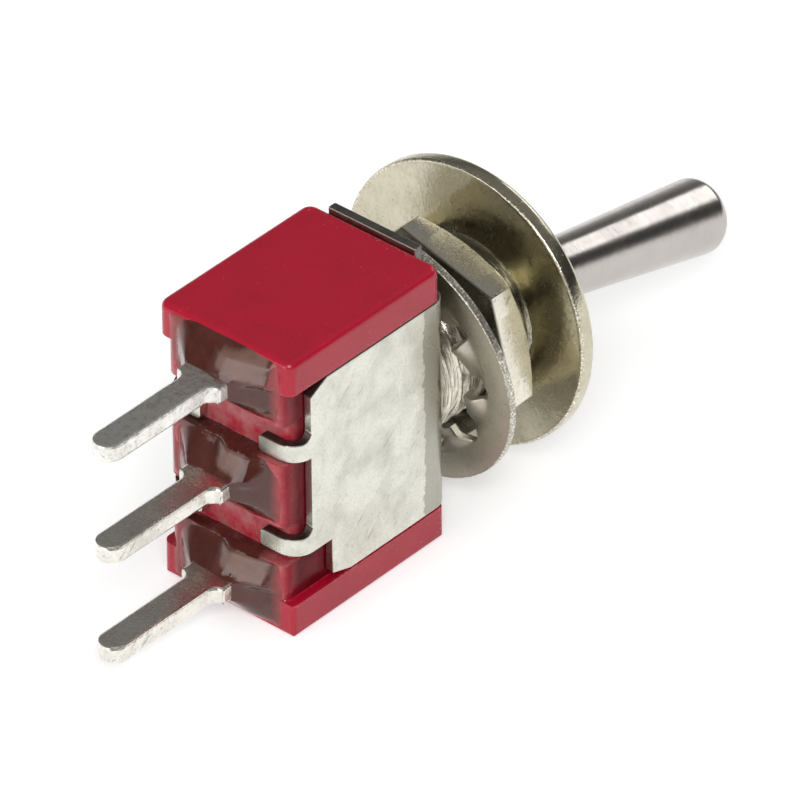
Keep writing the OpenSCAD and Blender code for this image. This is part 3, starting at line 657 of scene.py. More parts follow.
class Workshop:
    """Makes pieces, dresses them and ties them to the frame."""

    def __init__(self, frame: dict) -> None:
        self.nodes: dict[str, Piece] = frame["nodes"]
        self._made: dict[str, bpy.types.Material] = {}

    def material(self, finish: Finish) -> bpy.types.Material:
        """Material of a finish, made once.

        Args:
            finish: Finish to look up.

        Returns:
            The material.
        """
        if finish.name not in self._made:
            self._made[finish.name] = finish.material()
        return self._made[finish.name]

    def dress(self, node: str, finish: Finish) -> None:
        """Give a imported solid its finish.

        Args:
            node: Name of the solid.
            finish: Its finish.
        """
        piece = self.nodes[node]
        piece.data.materials.clear()
        piece.data.materials.append(self.material(finish))
        LOG.info("dressed %s in %s", node, finish.name)

    @staticmethod
    def worked(mesh: bpy.types.Mesh, kind: str, **settings: object) -> bpy.types.Mesh:
        """Work a mesh with one modifier.

        Args:
            mesh: Mesh to work.
            kind: Kind of the modifier.
            settings: Values of the modifier.

        Returns:
            The new mesh.
        """
        bench = put("bench", mesh)
        step = bench.modifiers.new(kind.lower(), kind)
        for name, value in settings.items():
            setattr(step, name, value)
        result = bpy.data.meshes.new_from_object(bench.evaluated_get(bpy.context.evaluated_depsgraph_get()))
        bpy.data.objects.remove(bench)
        return result

    def eased(self, node: str, width: float, shape: bpy.types.Mesh | None = None,
              left: Callable[[Vector], bool] = lambda middle: False) -> bpy.types.Mesh:
        """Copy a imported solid's mesh and ease its sharp edges.

        Args:
            node: Name of the solid.
            width: Width of the easing in millimetres.
            shape: Mesh to take in place of the solid's own, or None.
            left: Tells by an edge's middle in millimetres whether the edge stays sharp.

        Returns:
            The new mesh.
        """
        work = bmesh.new()
        work.from_mesh(shape or self.nodes[node].data)
        bmesh.ops.remove_doubles(work, verts=work.verts, dist=WELD)
        bmesh.ops.dissolve_limit(work, angle_limit=math.radians(FLAT_ANGLE), verts=work.verts,
                                 edges=work.edges)
        keen = [e for e in work.edges if len(e.link_faces) == 2
                and e.calc_face_angle(0.0) > math.radians(SHARP_ANGLE)
                and not left((e.verts[0].co + e.verts[1].co) / (2 * MM))]
        bmesh.ops.bevel(work, geom=keen, offset=width * MM, offset_type="OFFSET", segments=2, profile=0.5,
                        affect="EDGES", clamp_overlap=False)
        bmesh.ops.dissolve_degenerate(work, dist=SLIVER, edges=work.edges)
        return shaded(work, bpy.data.meshes.new(node + "_eased"), SHADE_ANGLE)

    def piece(self, name: str, mesh: bpy.types.Mesh, finishes: Sequence[Finish], body: Body, slot: Slot,
              *replaced: str) -> Piece:
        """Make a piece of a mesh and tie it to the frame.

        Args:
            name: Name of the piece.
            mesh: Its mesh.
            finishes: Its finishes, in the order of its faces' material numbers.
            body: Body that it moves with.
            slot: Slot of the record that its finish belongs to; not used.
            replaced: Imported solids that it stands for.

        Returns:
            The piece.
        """
        mesh.materials.clear()
        for finish in finishes:
            mesh.materials.append(self.material(finish))
        made = put(name, mesh)
        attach(made, body.value)
        if replaced:
            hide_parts(*replaced)
        LOG.info("made %s with %d faces for %s", name, len(mesh.polygons), ", ".join(replaced))
        return made


def circle(sides: int) -> np.ndarray:
    """Angles of a full turn, from +Y towards +Z."""
    return np.arange(sides) * 2 * math.pi / sides


def ring(x: float | np.ndarray, radius: float | np.ndarray, angles: np.ndarray) -> np.ndarray:
    """Ring of points around the X axis, at a place and a radius for all angles or for each."""
    return np.stack([np.broadcast_to(x, angles.shape), radius * np.cos(angles), radius * np.sin(angles)], 1)


def box_reach(half_y: float, half_z: float, angles: np.ndarray) -> np.ndarray:
    """Distance from the axis to the edge of a rectangle, for each angle."""
    return np.minimum(half_y / np.maximum(np.abs(np.cos(angles)), LEAST),
                      half_z / np.maximum(np.abs(np.sin(angles)), LEAST))


def ease(share: np.ndarray) -> np.ndarray:
    """Smooth step from 0 to 1."""
    share = np.clip(share, 0, 1)
    return share * share * (3 - 2 * share)


def corner(centre: Span, radius: float, start: float, end: float, steps: int) -> list[Span]:
    """Points of an arc in a half section from one angle in degrees to another, both ends included."""
    turns = np.radians(np.linspace(start, end, steps + 1))
    return [(centre[0] + radius * math.cos(a), centre[1] + radius * math.sin(a)) for a in turns]


def ripple(places: np.ndarray, scale: float, seed: int) -> np.ndarray:
    """Smooth random heights of about -1 to 1.

    Args:
        places: Array whose last axis holds the coordinates.
        scale: Waves per unit of length.
        seed: Seed of the random draw.

    Returns:
        The heights.
    """
    rng = np.random.default_rng(seed)
    total = np.zeros(places.shape[:-1])
    for _ in range(WAVES):
        way = rng.normal(size=places.shape[-1])
        way *= scale * 2 * math.pi * rng.uniform(0.5, 1.4) / np.linalg.norm(way)
        total += np.sin(places @ way + rng.uniform(0, 2 * math.pi))
    return total / math.sqrt(WAVES)


def rough(places: np.ndarray, *waves: Wave, shift: int = 0) -> np.ndarray:
    """Sum of ripples, each by its height, scale and seed, with a shift of the seeds."""
    return sum(height * ripple(places, scale, seed + shift) for height, scale, seed in waves)


@dataclass
class MouldedCase:
    """Red case whose outer edges are worn round."""

    edge: float = 0.04
    lower_r: tuple[float, ...] = (0.1, 0.42, 0.1, 0.1)
    upper_r: tuple[float, ...] = (0.5, 0.5, 0.42, 0.5)
    rim_r: Span = (0.1, 0.3)
    spare: float = 0.0005
    steps: int = 8
    least_r: float = 1e-4
    flange_z: float = 4.88
    cusps: Span = (-8.6, -0.9)
    cusp_near: float = 0.01

    def build(self, shop: Workshop) -> None:
        """Make the case.

        Args:
            shop: Workshop that makes the pieces.
        """
        solid = shop.nodes["case"].data.copy()
        points = np.array([point.co for point in solid.vertices]) / MM
        form = put("case_form", self._form(points.min(0), points.max(0)))
        mesh = shop.worked(solid, "BOOLEAN", operation="INTERSECT", solver="EXACT", object=form)
        bpy.data.objects.remove(form)
        mesh = shop.eased("case", self.edge, shape=mesh, left=self._in_cusp)
        mesh = shop.worked(mesh, "WEIGHTED_NORMAL", keep_sharp=True)
        shop.piece("red_case", mesh, (CASE_PLASTIC,), Body.SWITCH, Slot.CASE, "case")

    def _in_cusp(self, middle: Vector) -> bool:
        """Tell whether an edge lies where a flange's underside narrows to a cusp."""
        start, end = self.cusps
        return abs(abs(middle.z) - self.flange_z) < self.cusp_near and not start < middle.x < end

    def _form(self, low: np.ndarray, high: np.ndarray) -> bpy.types.Mesh:
        """Block with rounded edges that the case is cut to.

        Args:
            low: Lowest corner of the case in millimetres.
            high: Highest corner.

        Returns:
            The block's mesh.
        """
        middle, half = (low + high) / 2, (high - low) / 2 + self.spare
        rings = []
        for radii, rim, side in zip((self.lower_r, self.upper_r), self.rim_r, (-1, 1)):
            for inset, rise in corner((-rim, half[2] - rim), rim, 45 - 45 * side, 45 + 45 * side, self.steps):
                outline = []
                for turn, (radius, sx, sy) in enumerate(zip(radii, (1, -1, -1, 1), (1, 1, -1, -1))):
                    place = (sx * (half[0] - radius), sy * (half[1] - radius))
                    bend = max(radius + inset, self.least_r)
                    outline += corner(place, bend, 90 * turn, 90 * turn + 90, self.steps)
                rings.append([(*spot, side * rise) for spot in outline])
        shell = Shell()
        shell.loft(np.array(rings) + middle)
        return shell.mesh("case_form")


@dataclass
class FoldedBracket:
    """Tinned bracket with rolled edges, darker sheared ones, and slot edges painted darker still as shade."""

    edge: float = 0.05
    front: float = -1.0
    tongue_from: float = 5.2
    square: float = 0.9
    across: float = 0.4
    slant: float = 0.2

    def build(self, shop: Workshop) -> None:
        """Make the bracket.

        Args:
            shop: Workshop that makes the pieces.
        """
        finishes = (BRACKET_TIN, BRACKET_CUT, BRACKET_SLOT_SHADE)
        piece = shop.piece("tin_bracket", shop.eased("bracket", self.edge), finishes, Body.SWITCH,
                           Slot.BRACKET, "bracket")
        for face in piece.data.polygons:
            face.material_index = self._kind(face)

    def _kind(self, face: bpy.types.MeshPolygon) -> int:
        """Tell a face of the sheet (0) from a sheared edge (1) and the edge of a slot (2), which takes
        painted shade.

        Args:
            face: Face of the bracket.

        Returns:
            The number of its finish.
        """
        x, _, z = face.center / MM
        side, up = abs(face.normal.y), abs(face.normal.z)
        if x < self.front and side < self.across and up > self.slant:
            return 2
        end = side > self.square and x > self.front and abs(z) > self.tongue_from
        return int(up > self.square or end)


@dataclass
class PinSet:
    """Three stamped terminals with tumbled edges, the upper one in a lighter copy of the tin as painted
    light.
    """

    edge: float = 0.11

    def build(self, shop: Workshop) -> None:
        """Make the terminals.

        Args:
            shop: Workshop that makes the pieces.
        """
        for place in ("upper", "centre", "lower"):
            node = place + "_terminal"
            # The upper pin takes the lighter copy of the tin, as painted light.
            finish = PIN_TIN_LIT if place == "upper" else PIN_TIN
            mesh = shop.eased(node, self.edge)
            shop.piece(place + "_pin", mesh, (finish,), Body.SWITCH, Slot.TERMINAL, node)


@dataclass(frozen=True)
class Shelf:
    """Flat fill of resin beside a terminal, in millimetres from the terminal's middle."""

    height: float
    near: float
    far: float
    skin_far: float
    skin_z: Span
    slope_y: float = 0.18
    slope_z: float = -0.5
    centre: Span = (-1.3, 0.6)
    soften: float = 0.004
    near_fade: Span = (0.3, 1.0)
    far_fade: float = 0.7
    rise: Span = (0.1, 0.5)
    bow: Point = (0.12, 2.0, 0.4)
    skin_fade: tuple[float, ...] = (0.35, 0.5, 0.3, 0.25)

    def fill(self, y: np.ndarray, z: np.ndarray, mound: np.ndarray) -> np.ndarray:
        """Height by which the fill stands above the mound at given places.

        Args:
            y: Places across the case.
            z: Places along the row of pins.
            mound: Heights of the mound there.

        Returns:
            The heights.
        """
        plane = self.height + self.slope_y * (y - self.centre[0]) + self.slope_z * (z - self.centre[1])
        over = plane - mound
        over = (over + np.sqrt(over * over + self.soften)) / 2
        (inset, near), (foot, rise) = self.near_fade, self.rise
        zone = ease((self.near + inset - y) / near) * ease((y - self.far) / self.far_fade)
        zone = zone * ease((z - foot) / rise)
        return over * zone

    def skin(self, y: np.ndarray, z: np.ndarray) -> np.ndarray:
        """Share of dull skin on the fill at given places.

        Args:
            y: Places across the case.
            z: Places along the row of pins.

        Returns:
            The shares, from 0 to 1.
        """
        low, high = self.skin_z
        depth, scale, shift = self.bow
        bow = depth * np.cos(scale * y + shift)
        gaps = (self.near - y, y - self.skin_far, z - low - bow, high - bow - z)
        return math.prod(ease(gap / fade) for gap, fade in zip(gaps, self.skin_fade))


@dataclass
class ResinSeals:
    """Three poured seals that cover the ends of the case's blocks and climb the terminals."""

    end_x: float = -9.1
    cell_floor: float = -7.9
    pitch: float = 4.7
    half_width: float = 2.86
    half_block: float = 1.43
    outer_block: float = 1.58
    corner_r: float = 0.3
    side_edge: Span = (2.495, 0.45)
    top_edge: Span = (6.05, 0.3)
    flange_z: float = 4.88
    flange_fade: float = 0.15
    film: float = 0.06
    film_fade: float = 0.6
    left_film: float = 0.45
    settle: float = 0.02
    fade: float = 0.4
    sink: float = 0.08
    blade_half: float = 1.08
    blade_thick: float = 0.385
    rise: float = 0.9
    rise_wave: Wave = (0.06, 0.35, 11)
    swell_wave: Wave = (0.04, 0.45, 31)
    least: float = 1e-6
    hollow_right: float = 1.7
    hollow_left: float = 1.0
    hollow_thin: float = 1.15
    cell_half: Span = (2.39, 1.14)
    left_reach: float = 2.35
    shelves: dict[int, Shelf] = field(default_factory=lambda: {
        1: Shelf(0.68, -0.1, -3.2, -2.65, (0.45, 1.6)), 0: Shelf(0.68, 0.05, -2.1, -1.55, (0.45, 1.75)),
        -1: Shelf(0.66, 0.0, -2.8, -2.5, (0.5, 1.65))})
    overhang: float = 0.3
    bead_from: float = -8.2
    bead_run: Span = (-2.0, 2.55)
    bead_rings: int = 90
    bead_skin: float = 0.03
    bead_thick: float = 0.14
    bead_mean: float = 0.5
    bead_most: float = 1.2
    bead_flat: Span = (0.9, 0.45)
    bead_taper: float = 0.6
    bead_back: Span = (0.35, 0.5)
    bead_waves: tuple[Wave, ...] = ((0.35, 0.9, 51), (0.2, 2.6, 61))
    bead_section: tuple[tuple[float, ...], ...] = (
        (0, 0.12, -0.3, 0), (0, 0.01, -0.08, 0), (0, 0.02, 0, 0.3), (0, 0.08, 0, 0.75), (0, 0.2, 0, 1),
        (0, 0.4, 0, 1.05), (0.5, 0, 0, 0.9), (1, -0.15, 0, 0.6), (1, 0, -0.01, 0), (1, -0.1, -0.1, 0),
        (0, 0.25, -0.3, 0))
    overlap: float = 0.01
    bend: float = 2.6
    columns: int = 120
    rows: int = 70

    def build(self, shop: Workshop) -> None:
        """Make the three seals.

        Args:
            shop: Workshop that makes the pieces.
        """
        for level, place in ((1, "upper"), (0, "centre"), (-1, "lower")):
            shell = Shell()
            self._mound(shell, level)
            if level < 1:
                self._bead(shell, level)
            mesh = shell.mesh(place + "_resin", crease=60)
            shop.piece(place + "_resin", mesh, (SEAL_RESIN,), Body.SWITCH, Slot.SEAL, place + "_seal")

    def _mound(self, shell: Shell, level: int) -> None:
        """Lay the resin of one block over its cell.

        Args:
            shell: Shell to add to.
            level: 1 for the upper block, 0 for the centre, -1 for the lower.
        """
        low = -self.outer_block if level < 0 else -self.half_block
        high = self.outer_block if level > 0 else self.half_block
        y, z = np.meshgrid(np.linspace(-self.half_width, self.half_width, self.columns),
                           np.linspace(low, high, self.rows))
        height, coat = self._height(y, z, low, high, level)
        skin = self.end_x + self._drop(y, z + level * self.pitch)
        top = np.stack([skin - height, y, z + level * self.pitch], -1)
        base = np.stack([skin + self.sink, y, z + level * self.pitch], -1)
        both = np.concatenate([top.reshape(-1, 3), base.reshape(-1, 3)])
        wide, count = self.columns, self.rows * self.columns
        cells = [(r * wide + c, r * wide + c + 1, (r + 1) * wide + c + 1, (r + 1) * wide + c)
                 for r in range(self.rows - 1) for c in range(wide - 1)]
        faces = cells + [tuple(k + count for k in cell[::-1]) for cell in cells]
        rim = list(range(wide)) + [r * wide + wide - 1 for r in range(1, self.rows)]
        rim += [(self.rows - 1) * wide + c for c in range(wide - 2, -1, -1)]
        rim += [r * wide for r in range(self.rows - 2, 0, -1)]
        faces += [(a, b, b + count, a + count) for a, b in zip(rim, rim[1:] + rim[:1])]
        shell.add(both, faces, np.tile(coat.reshape(-1), 2))
        half_y, half_z = self.cell_half
        plug = [[(x, sy * half_y, sz * half_z + level * self.pitch)
                 for sy, sz in ((-1, -1), (1, -1), (1, 1), (-1, 1))]
                for x in (self.end_x + self.sink / 2, self.cell_floor - self.overlap)]
        shell.loft(np.array(plug))

    def _bead(self, shell: Shell, level: int) -> None:
        """Lay the resin that ran over a block's upper edge on to the ledge above it.

        A point of its section has a share of the way from front to back, shifts along X and Z, and a factor
        on the thickness.

        Args:
            shell: Shell to add to.
            level: Level of the block.
        """
        places = np.linspace(*self.bead_run, self.bead_rings)
        wave = self.bead_mean + rough(places[:, None], *self.bead_waves, shift=level)
        low = -self.outer_block if level < 0 else -self.half_block
        lip, _ = self._height(places, np.full(places.shape, self.half_block), low, self.half_block, level)
        edge = level * self.pitch + self.half_block
        fronts = self.end_x + self._drop(places, np.full(places.shape, edge)) - lip
        rings = []
        for y, front, swing in zip(places, fronts, np.clip(wave, 0, self.bead_most)):
            edge_fade = float(1 - ease(np.array((abs(y) - self.bead_flat[0]) / self.bead_flat[1])))
            thick = self.bead_skin + self.bead_thick * swing * edge_fade
            taper = float(ease(np.array((y - self.bead_run[0]) / self.bead_taper)))
            back = self.bead_from - self.bead_back[0] * swing - (1 - taper) * self.bead_back[1]
            thick = thick * taper - (1 - taper) * self.bead_skin
            rings.append([(front + share * (back - front) + dx, y, edge + dz + thick * part)
                          for share, dx, dz, part in self.bead_section])
        shell.loft(np.array(rings))

    def _drop(self, y: np.ndarray, z: np.ndarray) -> np.ndarray:
        """How far the case's rounded edges fall back from its end at given places.

        Args:
            y: Places across the case.
            z: Places along the row of pins, from the case's middle.

        Returns:
            The distances.
        """
        start, radius = self.side_edge
        past = np.clip(np.abs(y) - start, 0, radius)
        side = radius - np.sqrt(radius ** 2 - past ** 2)
        side = side * ease((self.flange_z - np.abs(z)) / self.flange_fade + 0.5)
        start, radius = self.top_edge
        past = np.clip(np.abs(z) - start, 0, radius)
        return side + radius - np.sqrt(radius ** 2 - past ** 2)

    def _height(self, y: np.ndarray, z: np.ndarray, low: float, high: float,
                level: int) -> tuple[np.ndarray, np.ndarray]:
        """Height of the resin above the case's end, and its coat.

        Args:
            y: Places across the case.
            z: Places along the row of pins, from the terminal's middle.
            low: Lower end of the block.
            high: Upper end of the block.
            level: Level of the block.

        Returns:
            Heights, and 1 for a thin film to -1 for a dull skin.
        """
        above = high if level > 0 else high + self.overhang
        mid, half = (low + above) / 2, (above - low) / 2
        out_y = np.abs(y) - self.half_width + self.corner_r
        out_z = np.abs(z - mid) - half + self.corner_r
        inside = self.corner_r - np.hypot(np.maximum(out_y, 0), np.maximum(out_z, 0)) - np.minimum(
            np.maximum(out_y, out_z), 0)
        body = ease(inside / self.fade)
        room_z = np.where(z > 0, high, -low) - self.blade_thick
        reach = np.where(y > 0, self.left_reach, self.half_width)
        across = np.clip((np.abs(y) - self.blade_half) / (reach - self.blade_half), 0, 1)
        along = np.clip((np.abs(z) - self.blade_thick) / room_z, 0, 1)
        far = np.clip((across ** self.bend + along ** self.bend) ** (1 / self.bend), 0, 1)
        wide = np.where(y > 0, self.hollow_left, self.hollow_right)
        hollow = self.hollow_thin + (wide - self.hollow_thin) * ease(across / np.maximum(far, self.least))
        spots, shelf = np.stack([y, z], -1), self.shelves[level]
        climb = self.rise * (1 + rough(spots, self.rise_wave, shift=level)) * (1 - far) ** hollow
        swell = rough(spots, self.swell_wave, shift=level) + shelf.fill(y, z, climb)
        flank = self.half_width - np.abs(y)
        edge = np.minimum(np.where(y > 0, flank * self.left_film, flank), z - low)
        thin = 1 - ease(edge / self.film_fade)
        return (self.film + swell) * body + climb - self.settle, thin - (1 - thin) * shelf.skin(y, z)


@dataclass
class ThreadedBush:
    """Bush with a cut thread, a chamfered mouth, the ball's seat and a flange inside the case."""

    radius: float = 3.175
    length: float = 7.6
    chamfer: float = 0.35
    pitch: float = 0.635
    depth: float = 0.33
    flat: float = 0.12
    neck: float = 0.05
    sheet: float = 0.4
    flange_back: float = -1.2
    flange_half: Span = (2.5, 5.2)
    pivot: float = 5.9
    seat: float = 1.9
    throat: float = 1.239
    throat_slope: float = 0.263
    tail_half: float = 1.27
    tail_reach: float = 1.30
    tail_slope: float = 0.225
    pin_half: Span = (2.4, 0.55)
    spare: float = 0.01
    sides: int = 180
    steps: int = 12
    bore_rings: int = 60

    def build(self, shop: Workshop) -> None:
        """Make the bush.

        Args:
            shop: Workshop that makes the pieces.
        """
        angles = circle(self.sides)
        rings = [ring(-self.sheet, self.radius, angles), ring(0.0, self.radius, angles)]
        rings += [ring(x, self._thread(x, angles), angles)
                  for x in np.arange(self.neck, self.length - self.spare, self.pitch / self.steps)]
        rings += [ring(self.length, self._thread(self.length, angles), angles)]
        rings += [ring(x, self._bore(x, angles), angles)
                  for x in np.linspace(self.length, self.flange_back, self.bore_rings)]
        rings += [ring(x, box_reach(*self.flange_half, angles), angles)
                  for x in (self.flange_back, -self.sheet)]
        shell = Shell()
        shell.loft(np.array(rings), looped=True)
        mesh = shell.mesh("threaded_bush", crease=35)
        shop.piece("threaded_bush", mesh, (BUSH_NICKEL,), Body.SWITCH, Slot.BUSH, "bushing")

    def _thread(self, x: float, angles: np.ndarray) -> np.ndarray:
        """Radius of the thread at a place along the bush, for each angle.

        Args:
            x: Place along the bush.
            angles: Angles around it.

        Returns:
            The radii.
        """
        turn = (x / self.pitch - angles / (2 * math.pi)) % 1.0
        crest = np.clip((np.abs(2 * turn - 1) - self.flat) / (1 - 2 * self.flat), 0, 1)
        start = self.radius - max(0.0, x - (self.length - self.chamfer))
        return np.minimum(self.radius - self.depth * (1 - crest), start)

    def _bore(self, x: float, angles: np.ndarray) -> np.ndarray:
        """Radius of the bore at a place along the bush, for each angle.

        Args:
            x: Place along the bush.
            angles: Angles around it.

        Returns:
            The radii.
        """
        s = x - self.pivot
        if s >= 0:
            wide = max(math.sqrt(max(self.seat ** 2 - s * s, 0.0)), self.throat + self.throat_slope * s)
            return np.full(angles.shape, wide)
        reach = self.tail_reach - self.tail_slope * s
        tail = np.minimum(box_reach(self.tail_half, reach, angles), reach)
        return np.maximum(np.maximum(self.seat, tail), box_reach(*self.pin_half, angles))


@dataclass
class LockWasher:
    """Loose lock washer with teeth that twist out of its ring."""

    place: float = 1.17
    lean: float = 4.7
    swing: float = 0.7
    turn: float = 34.5
    teeth: int = 10
    thick: float = 0.35
    rim: float = 5.625
    inner: float = 4.48
    tip: float = 3.42
    gap_r: float = 0.24
    gap_centre: float = 4.24
    tip_width: float = 1.62
    twist: float = 22.0
    twist_from: float = 4.45
    twist_run: float = 0.7
    edge: float = 0.06
    overlap: float = 0.06
    inset: float = 0.003
    burrs: tuple[Wave, ...] = ((0.012, 9.0, 5), (0.008, 31.0, 6))
    sides: int = 200
    tooth_rings: int = 22
    tooth_points: int = 9

    def build(self, shop: Workshop) -> None:
        """Make the washer.

        Args:
            shop: Workshop that makes the pieces.
        """
        shell = Shell()
        self._ring(shell)
        for i in range(self.teeth):
            self._tooth(shell, math.radians(self.turn + i * 360 / self.teeth))
        stand = Matrix.Translation((self.place, 0, 0)) @ Matrix.Rotation(-math.radians(self.swing), 4, "Z")
        stand = stand @ Matrix.Rotation(math.radians(90 - self.lean), 4, "Y")
        mesh = shell.mesh("lock_washer", stand, crease=40)
        shop.piece("tooth_washer", mesh, (WASHER_STEEL,), Body.SWITCH, Slot.WASHER, "lock_washer")

    def _ring(self, shell: Shell) -> None:
        """Add the flat ring, with its rolled outer edge.

        Args:
            shell: Shell to add to.
        """
        half, e = self.thick / 2, self.edge
        outline = [(self.inner, -half), *corner((self.rim - e, e - half), e, -90, 0, 3),
                   *corner((self.rim - e, half - e), e, 0, 90, 3), (self.inner, half)]
        angles = circle(self.sides)
        burr = abs(rough(angles[:, None], *self.burrs))
        rings = [np.roll(ring(z, r - burr * (r > self.inner), angles), -1, 1) for r, z in outline]
        shell.loft(np.array(rings), looped=True)

    def _tooth(self, shell: Shell, angle: float) -> None:
        """Add one tooth.

        Args:
            shell: Shell to add to.
            angle: Angle of the tooth's middle in radians.
        """
        half = self.thick / 2 - self.inset
        share = 2 * math.pi / self.teeth
        root = share * self.gap_centre - 2 * self.gap_r
        rings = []
        for r in np.linspace(self.inner + self.overlap, self.tip, self.tooth_rings):
            deep = np.clip((r - self.gap_centre) / self.gap_r, 0, 1)
            width = share * r - 2 * self.gap_r * math.sqrt(1 - deep * deep)
            if r <= self.gap_centre:
                along = (r - self.tip) / (self.gap_centre - self.tip)
                width = self.tip_width + along * (root - self.tip_width)
            tilt = math.radians(self.twist) * float(ease(np.array((self.twist_from - r) / self.twist_run)))
            e = min(self.edge, width / 4)
            line = np.linspace(-width / 2 + e, width / 2 - e, self.tooth_points)
            loop = [(u, -half) for u in line] + [(width / 2, e - half), (width / 2, half - e)]
            loop += [(u, half) for u in line[::-1]] + [(-width / 2, half - e), (-width / 2, e - half)]
            rings.append([self._bend(r, angle, u * math.cos(tilt) - v * math.sin(tilt),
                                     u * math.sin(tilt) + v * math.cos(tilt)) for u, v in loop])
        shell.loft(np.array(rings))

    @staticmethod
    def _bend(r: float, angle: float, u: float, v: float) -> Point:
        """Place a point of a tooth's section, u along the ring and v above it."""
        return (r * math.cos(angle + u / r), r * math.sin(angle + u / r), v)


@dataclass
class HexNut:
    """Nut with a chamfered front, broken corners and a countersunk bore."""

    place: float = 2.39
    thick: float = 1.5
    flats: float = 8.2
    corner_h: float = 1.06
    chamfer: float = 30.0
    bore: float = 3.235
    sink: float = 0.25
    turn: float = 15.3
    blunt: float = 0.02
    edge: float = 0.05
    lip: Span = (0.01, 0.017)
    near_corner: Span = (0.5, 1.0)
    per_side: int = 24

    def build(self, shop: Workshop) -> None:
        """Make the nut.

        Args:
            shop: Workshop that makes the pieces.
        """
        near = np.array(self.near_corner)
        even = np.linspace(0, 60, self.per_side, endpoint=False)
        offsets = np.sort(np.concatenate([even, near, 60 - near]))
        turns = np.concatenate([offsets + 60 * k for k in range(6)])
        angles = np.radians(turns + self.turn)
        flat = self.flats / 2 / np.cos(np.radians(turns % 60 - 30))
        corner_r = self.flats / math.sqrt(3)
        side = np.minimum(flat, corner_r - self.blunt)
        rise = self.corner_h + (corner_r - side) * math.tan(math.radians(self.chamfer))
        mouth = corner_r - (self.thick - self.corner_h) / math.tan(math.radians(self.chamfer))
        e = self.edge
        steps = [(0.0, self.bore + self.sink), (0.0, side - e), (e * 0.3, side - e * 0.3), (e, side),
                 (rise - e * 0.6, side), (rise + e * 0.15, side - e * 0.3), (rise + e * 0.5, side - e * 0.9),
                 (self.thick - self.lip[0], mouth + self.lip[1]), (self.thick, mouth - e * 0.5),
                 (self.thick, self.bore + self.sink), (self.thick - self.sink, self.bore),
                 (self.sink, self.bore)]
        shell = Shell()
        rings = [ring(x + self.place, r * np.ones(angles.shape), angles) for x, r in steps]
        shell.loft(np.array(rings), looped=True)
        shop.piece("hexagon_nut", shell.mesh("hexagon_nut", crease=22), (NUT_NICKEL,), Body.SWITCH, Slot.NUT,
                   "hex_nut")


@dataclass
class FaceWasher:
    """Loose face washer, stamped with a rolled front edge and a burred rear one."""

    place: Point = (5.24, 0.0, 0.0)
    offset: Span = (-0.16, 0.19)
    lean: float = 2.2
    rim: float = 6.094
    thick: float = 0.8
    hole: float = 3.28
    front_r: float = 0.3
    rear_r: float = 0.14
    hole_edge: float = 0.08
    step: float = 0.05
    rear_zone: float = 0.12
    burr: float = 0.014
    burr_width: float = 0.07
    burr_way: Span = (0.7, 0.4)
    burrs: tuple[Wave, ...] = ((1.0, 22.0, 41), (0.8, 60.0, 42))
    dish: float = 0.05
    sides: int = 480

    def build(self, shop: Workshop) -> None:
        """Make the washer.

        Args:
            shop: Workshop that makes the pieces.
        """
        half, e = self.thick / 2, self.hole_edge
        turns = circle(self.sides)
        rear = [(r, -half) for r in np.linspace(self.hole + e, self.rim - self.rear_r - self.step, 16)]
        outline = [(self.hole, 0.0), (self.hole, e - half), *rear]
        outline += corner((self.rim - self.rear_r, self.rear_r - half), self.rear_r, -90, 0, 5)
        outline += corner((self.rim - self.front_r, half - self.front_r), self.front_r, 0, 90, 6)
        outline += [(r, half) for r in np.linspace(self.rim - self.front_r - self.step, self.hole + e, 6)]
        outline += [(self.hole, half - e)]
        burr = np.abs(rough(turns[:, None], *self.burrs))
        rings = []
        for r, z in outline:
            edge = math.exp(-((r - self.rim + self.rear_r / 2) / self.burr_width) ** 2)
            away = self.burr * edge * (z < self.rear_zone - half) * burr
            share = float(np.clip((r - self.hole) / (self.rim - self.hole), 0, 1))
            dip = self.dish * math.sin(math.pi * share) * (z <= self.rear_zone - half)
            flat = np.roll(ring(z + dip - away * self.burr_way[1], r - away * self.burr_way[0], turns), -1, 1)
            rings.append(flat + (*(c * share for c in self.offset), 0.0))
        shell = Shell()
        shell.loft(np.array(rings), looped=True)
        stand = Matrix.Translation(self.place) @ Matrix.Rotation(math.radians(90 + self.lean), 4, "Y")
        shop.piece("round_washer", shell.mesh("round_washer", stand), (FACE_NICKEL,), Body.SWITCH, Slot.FACE,
                   "face_washer")


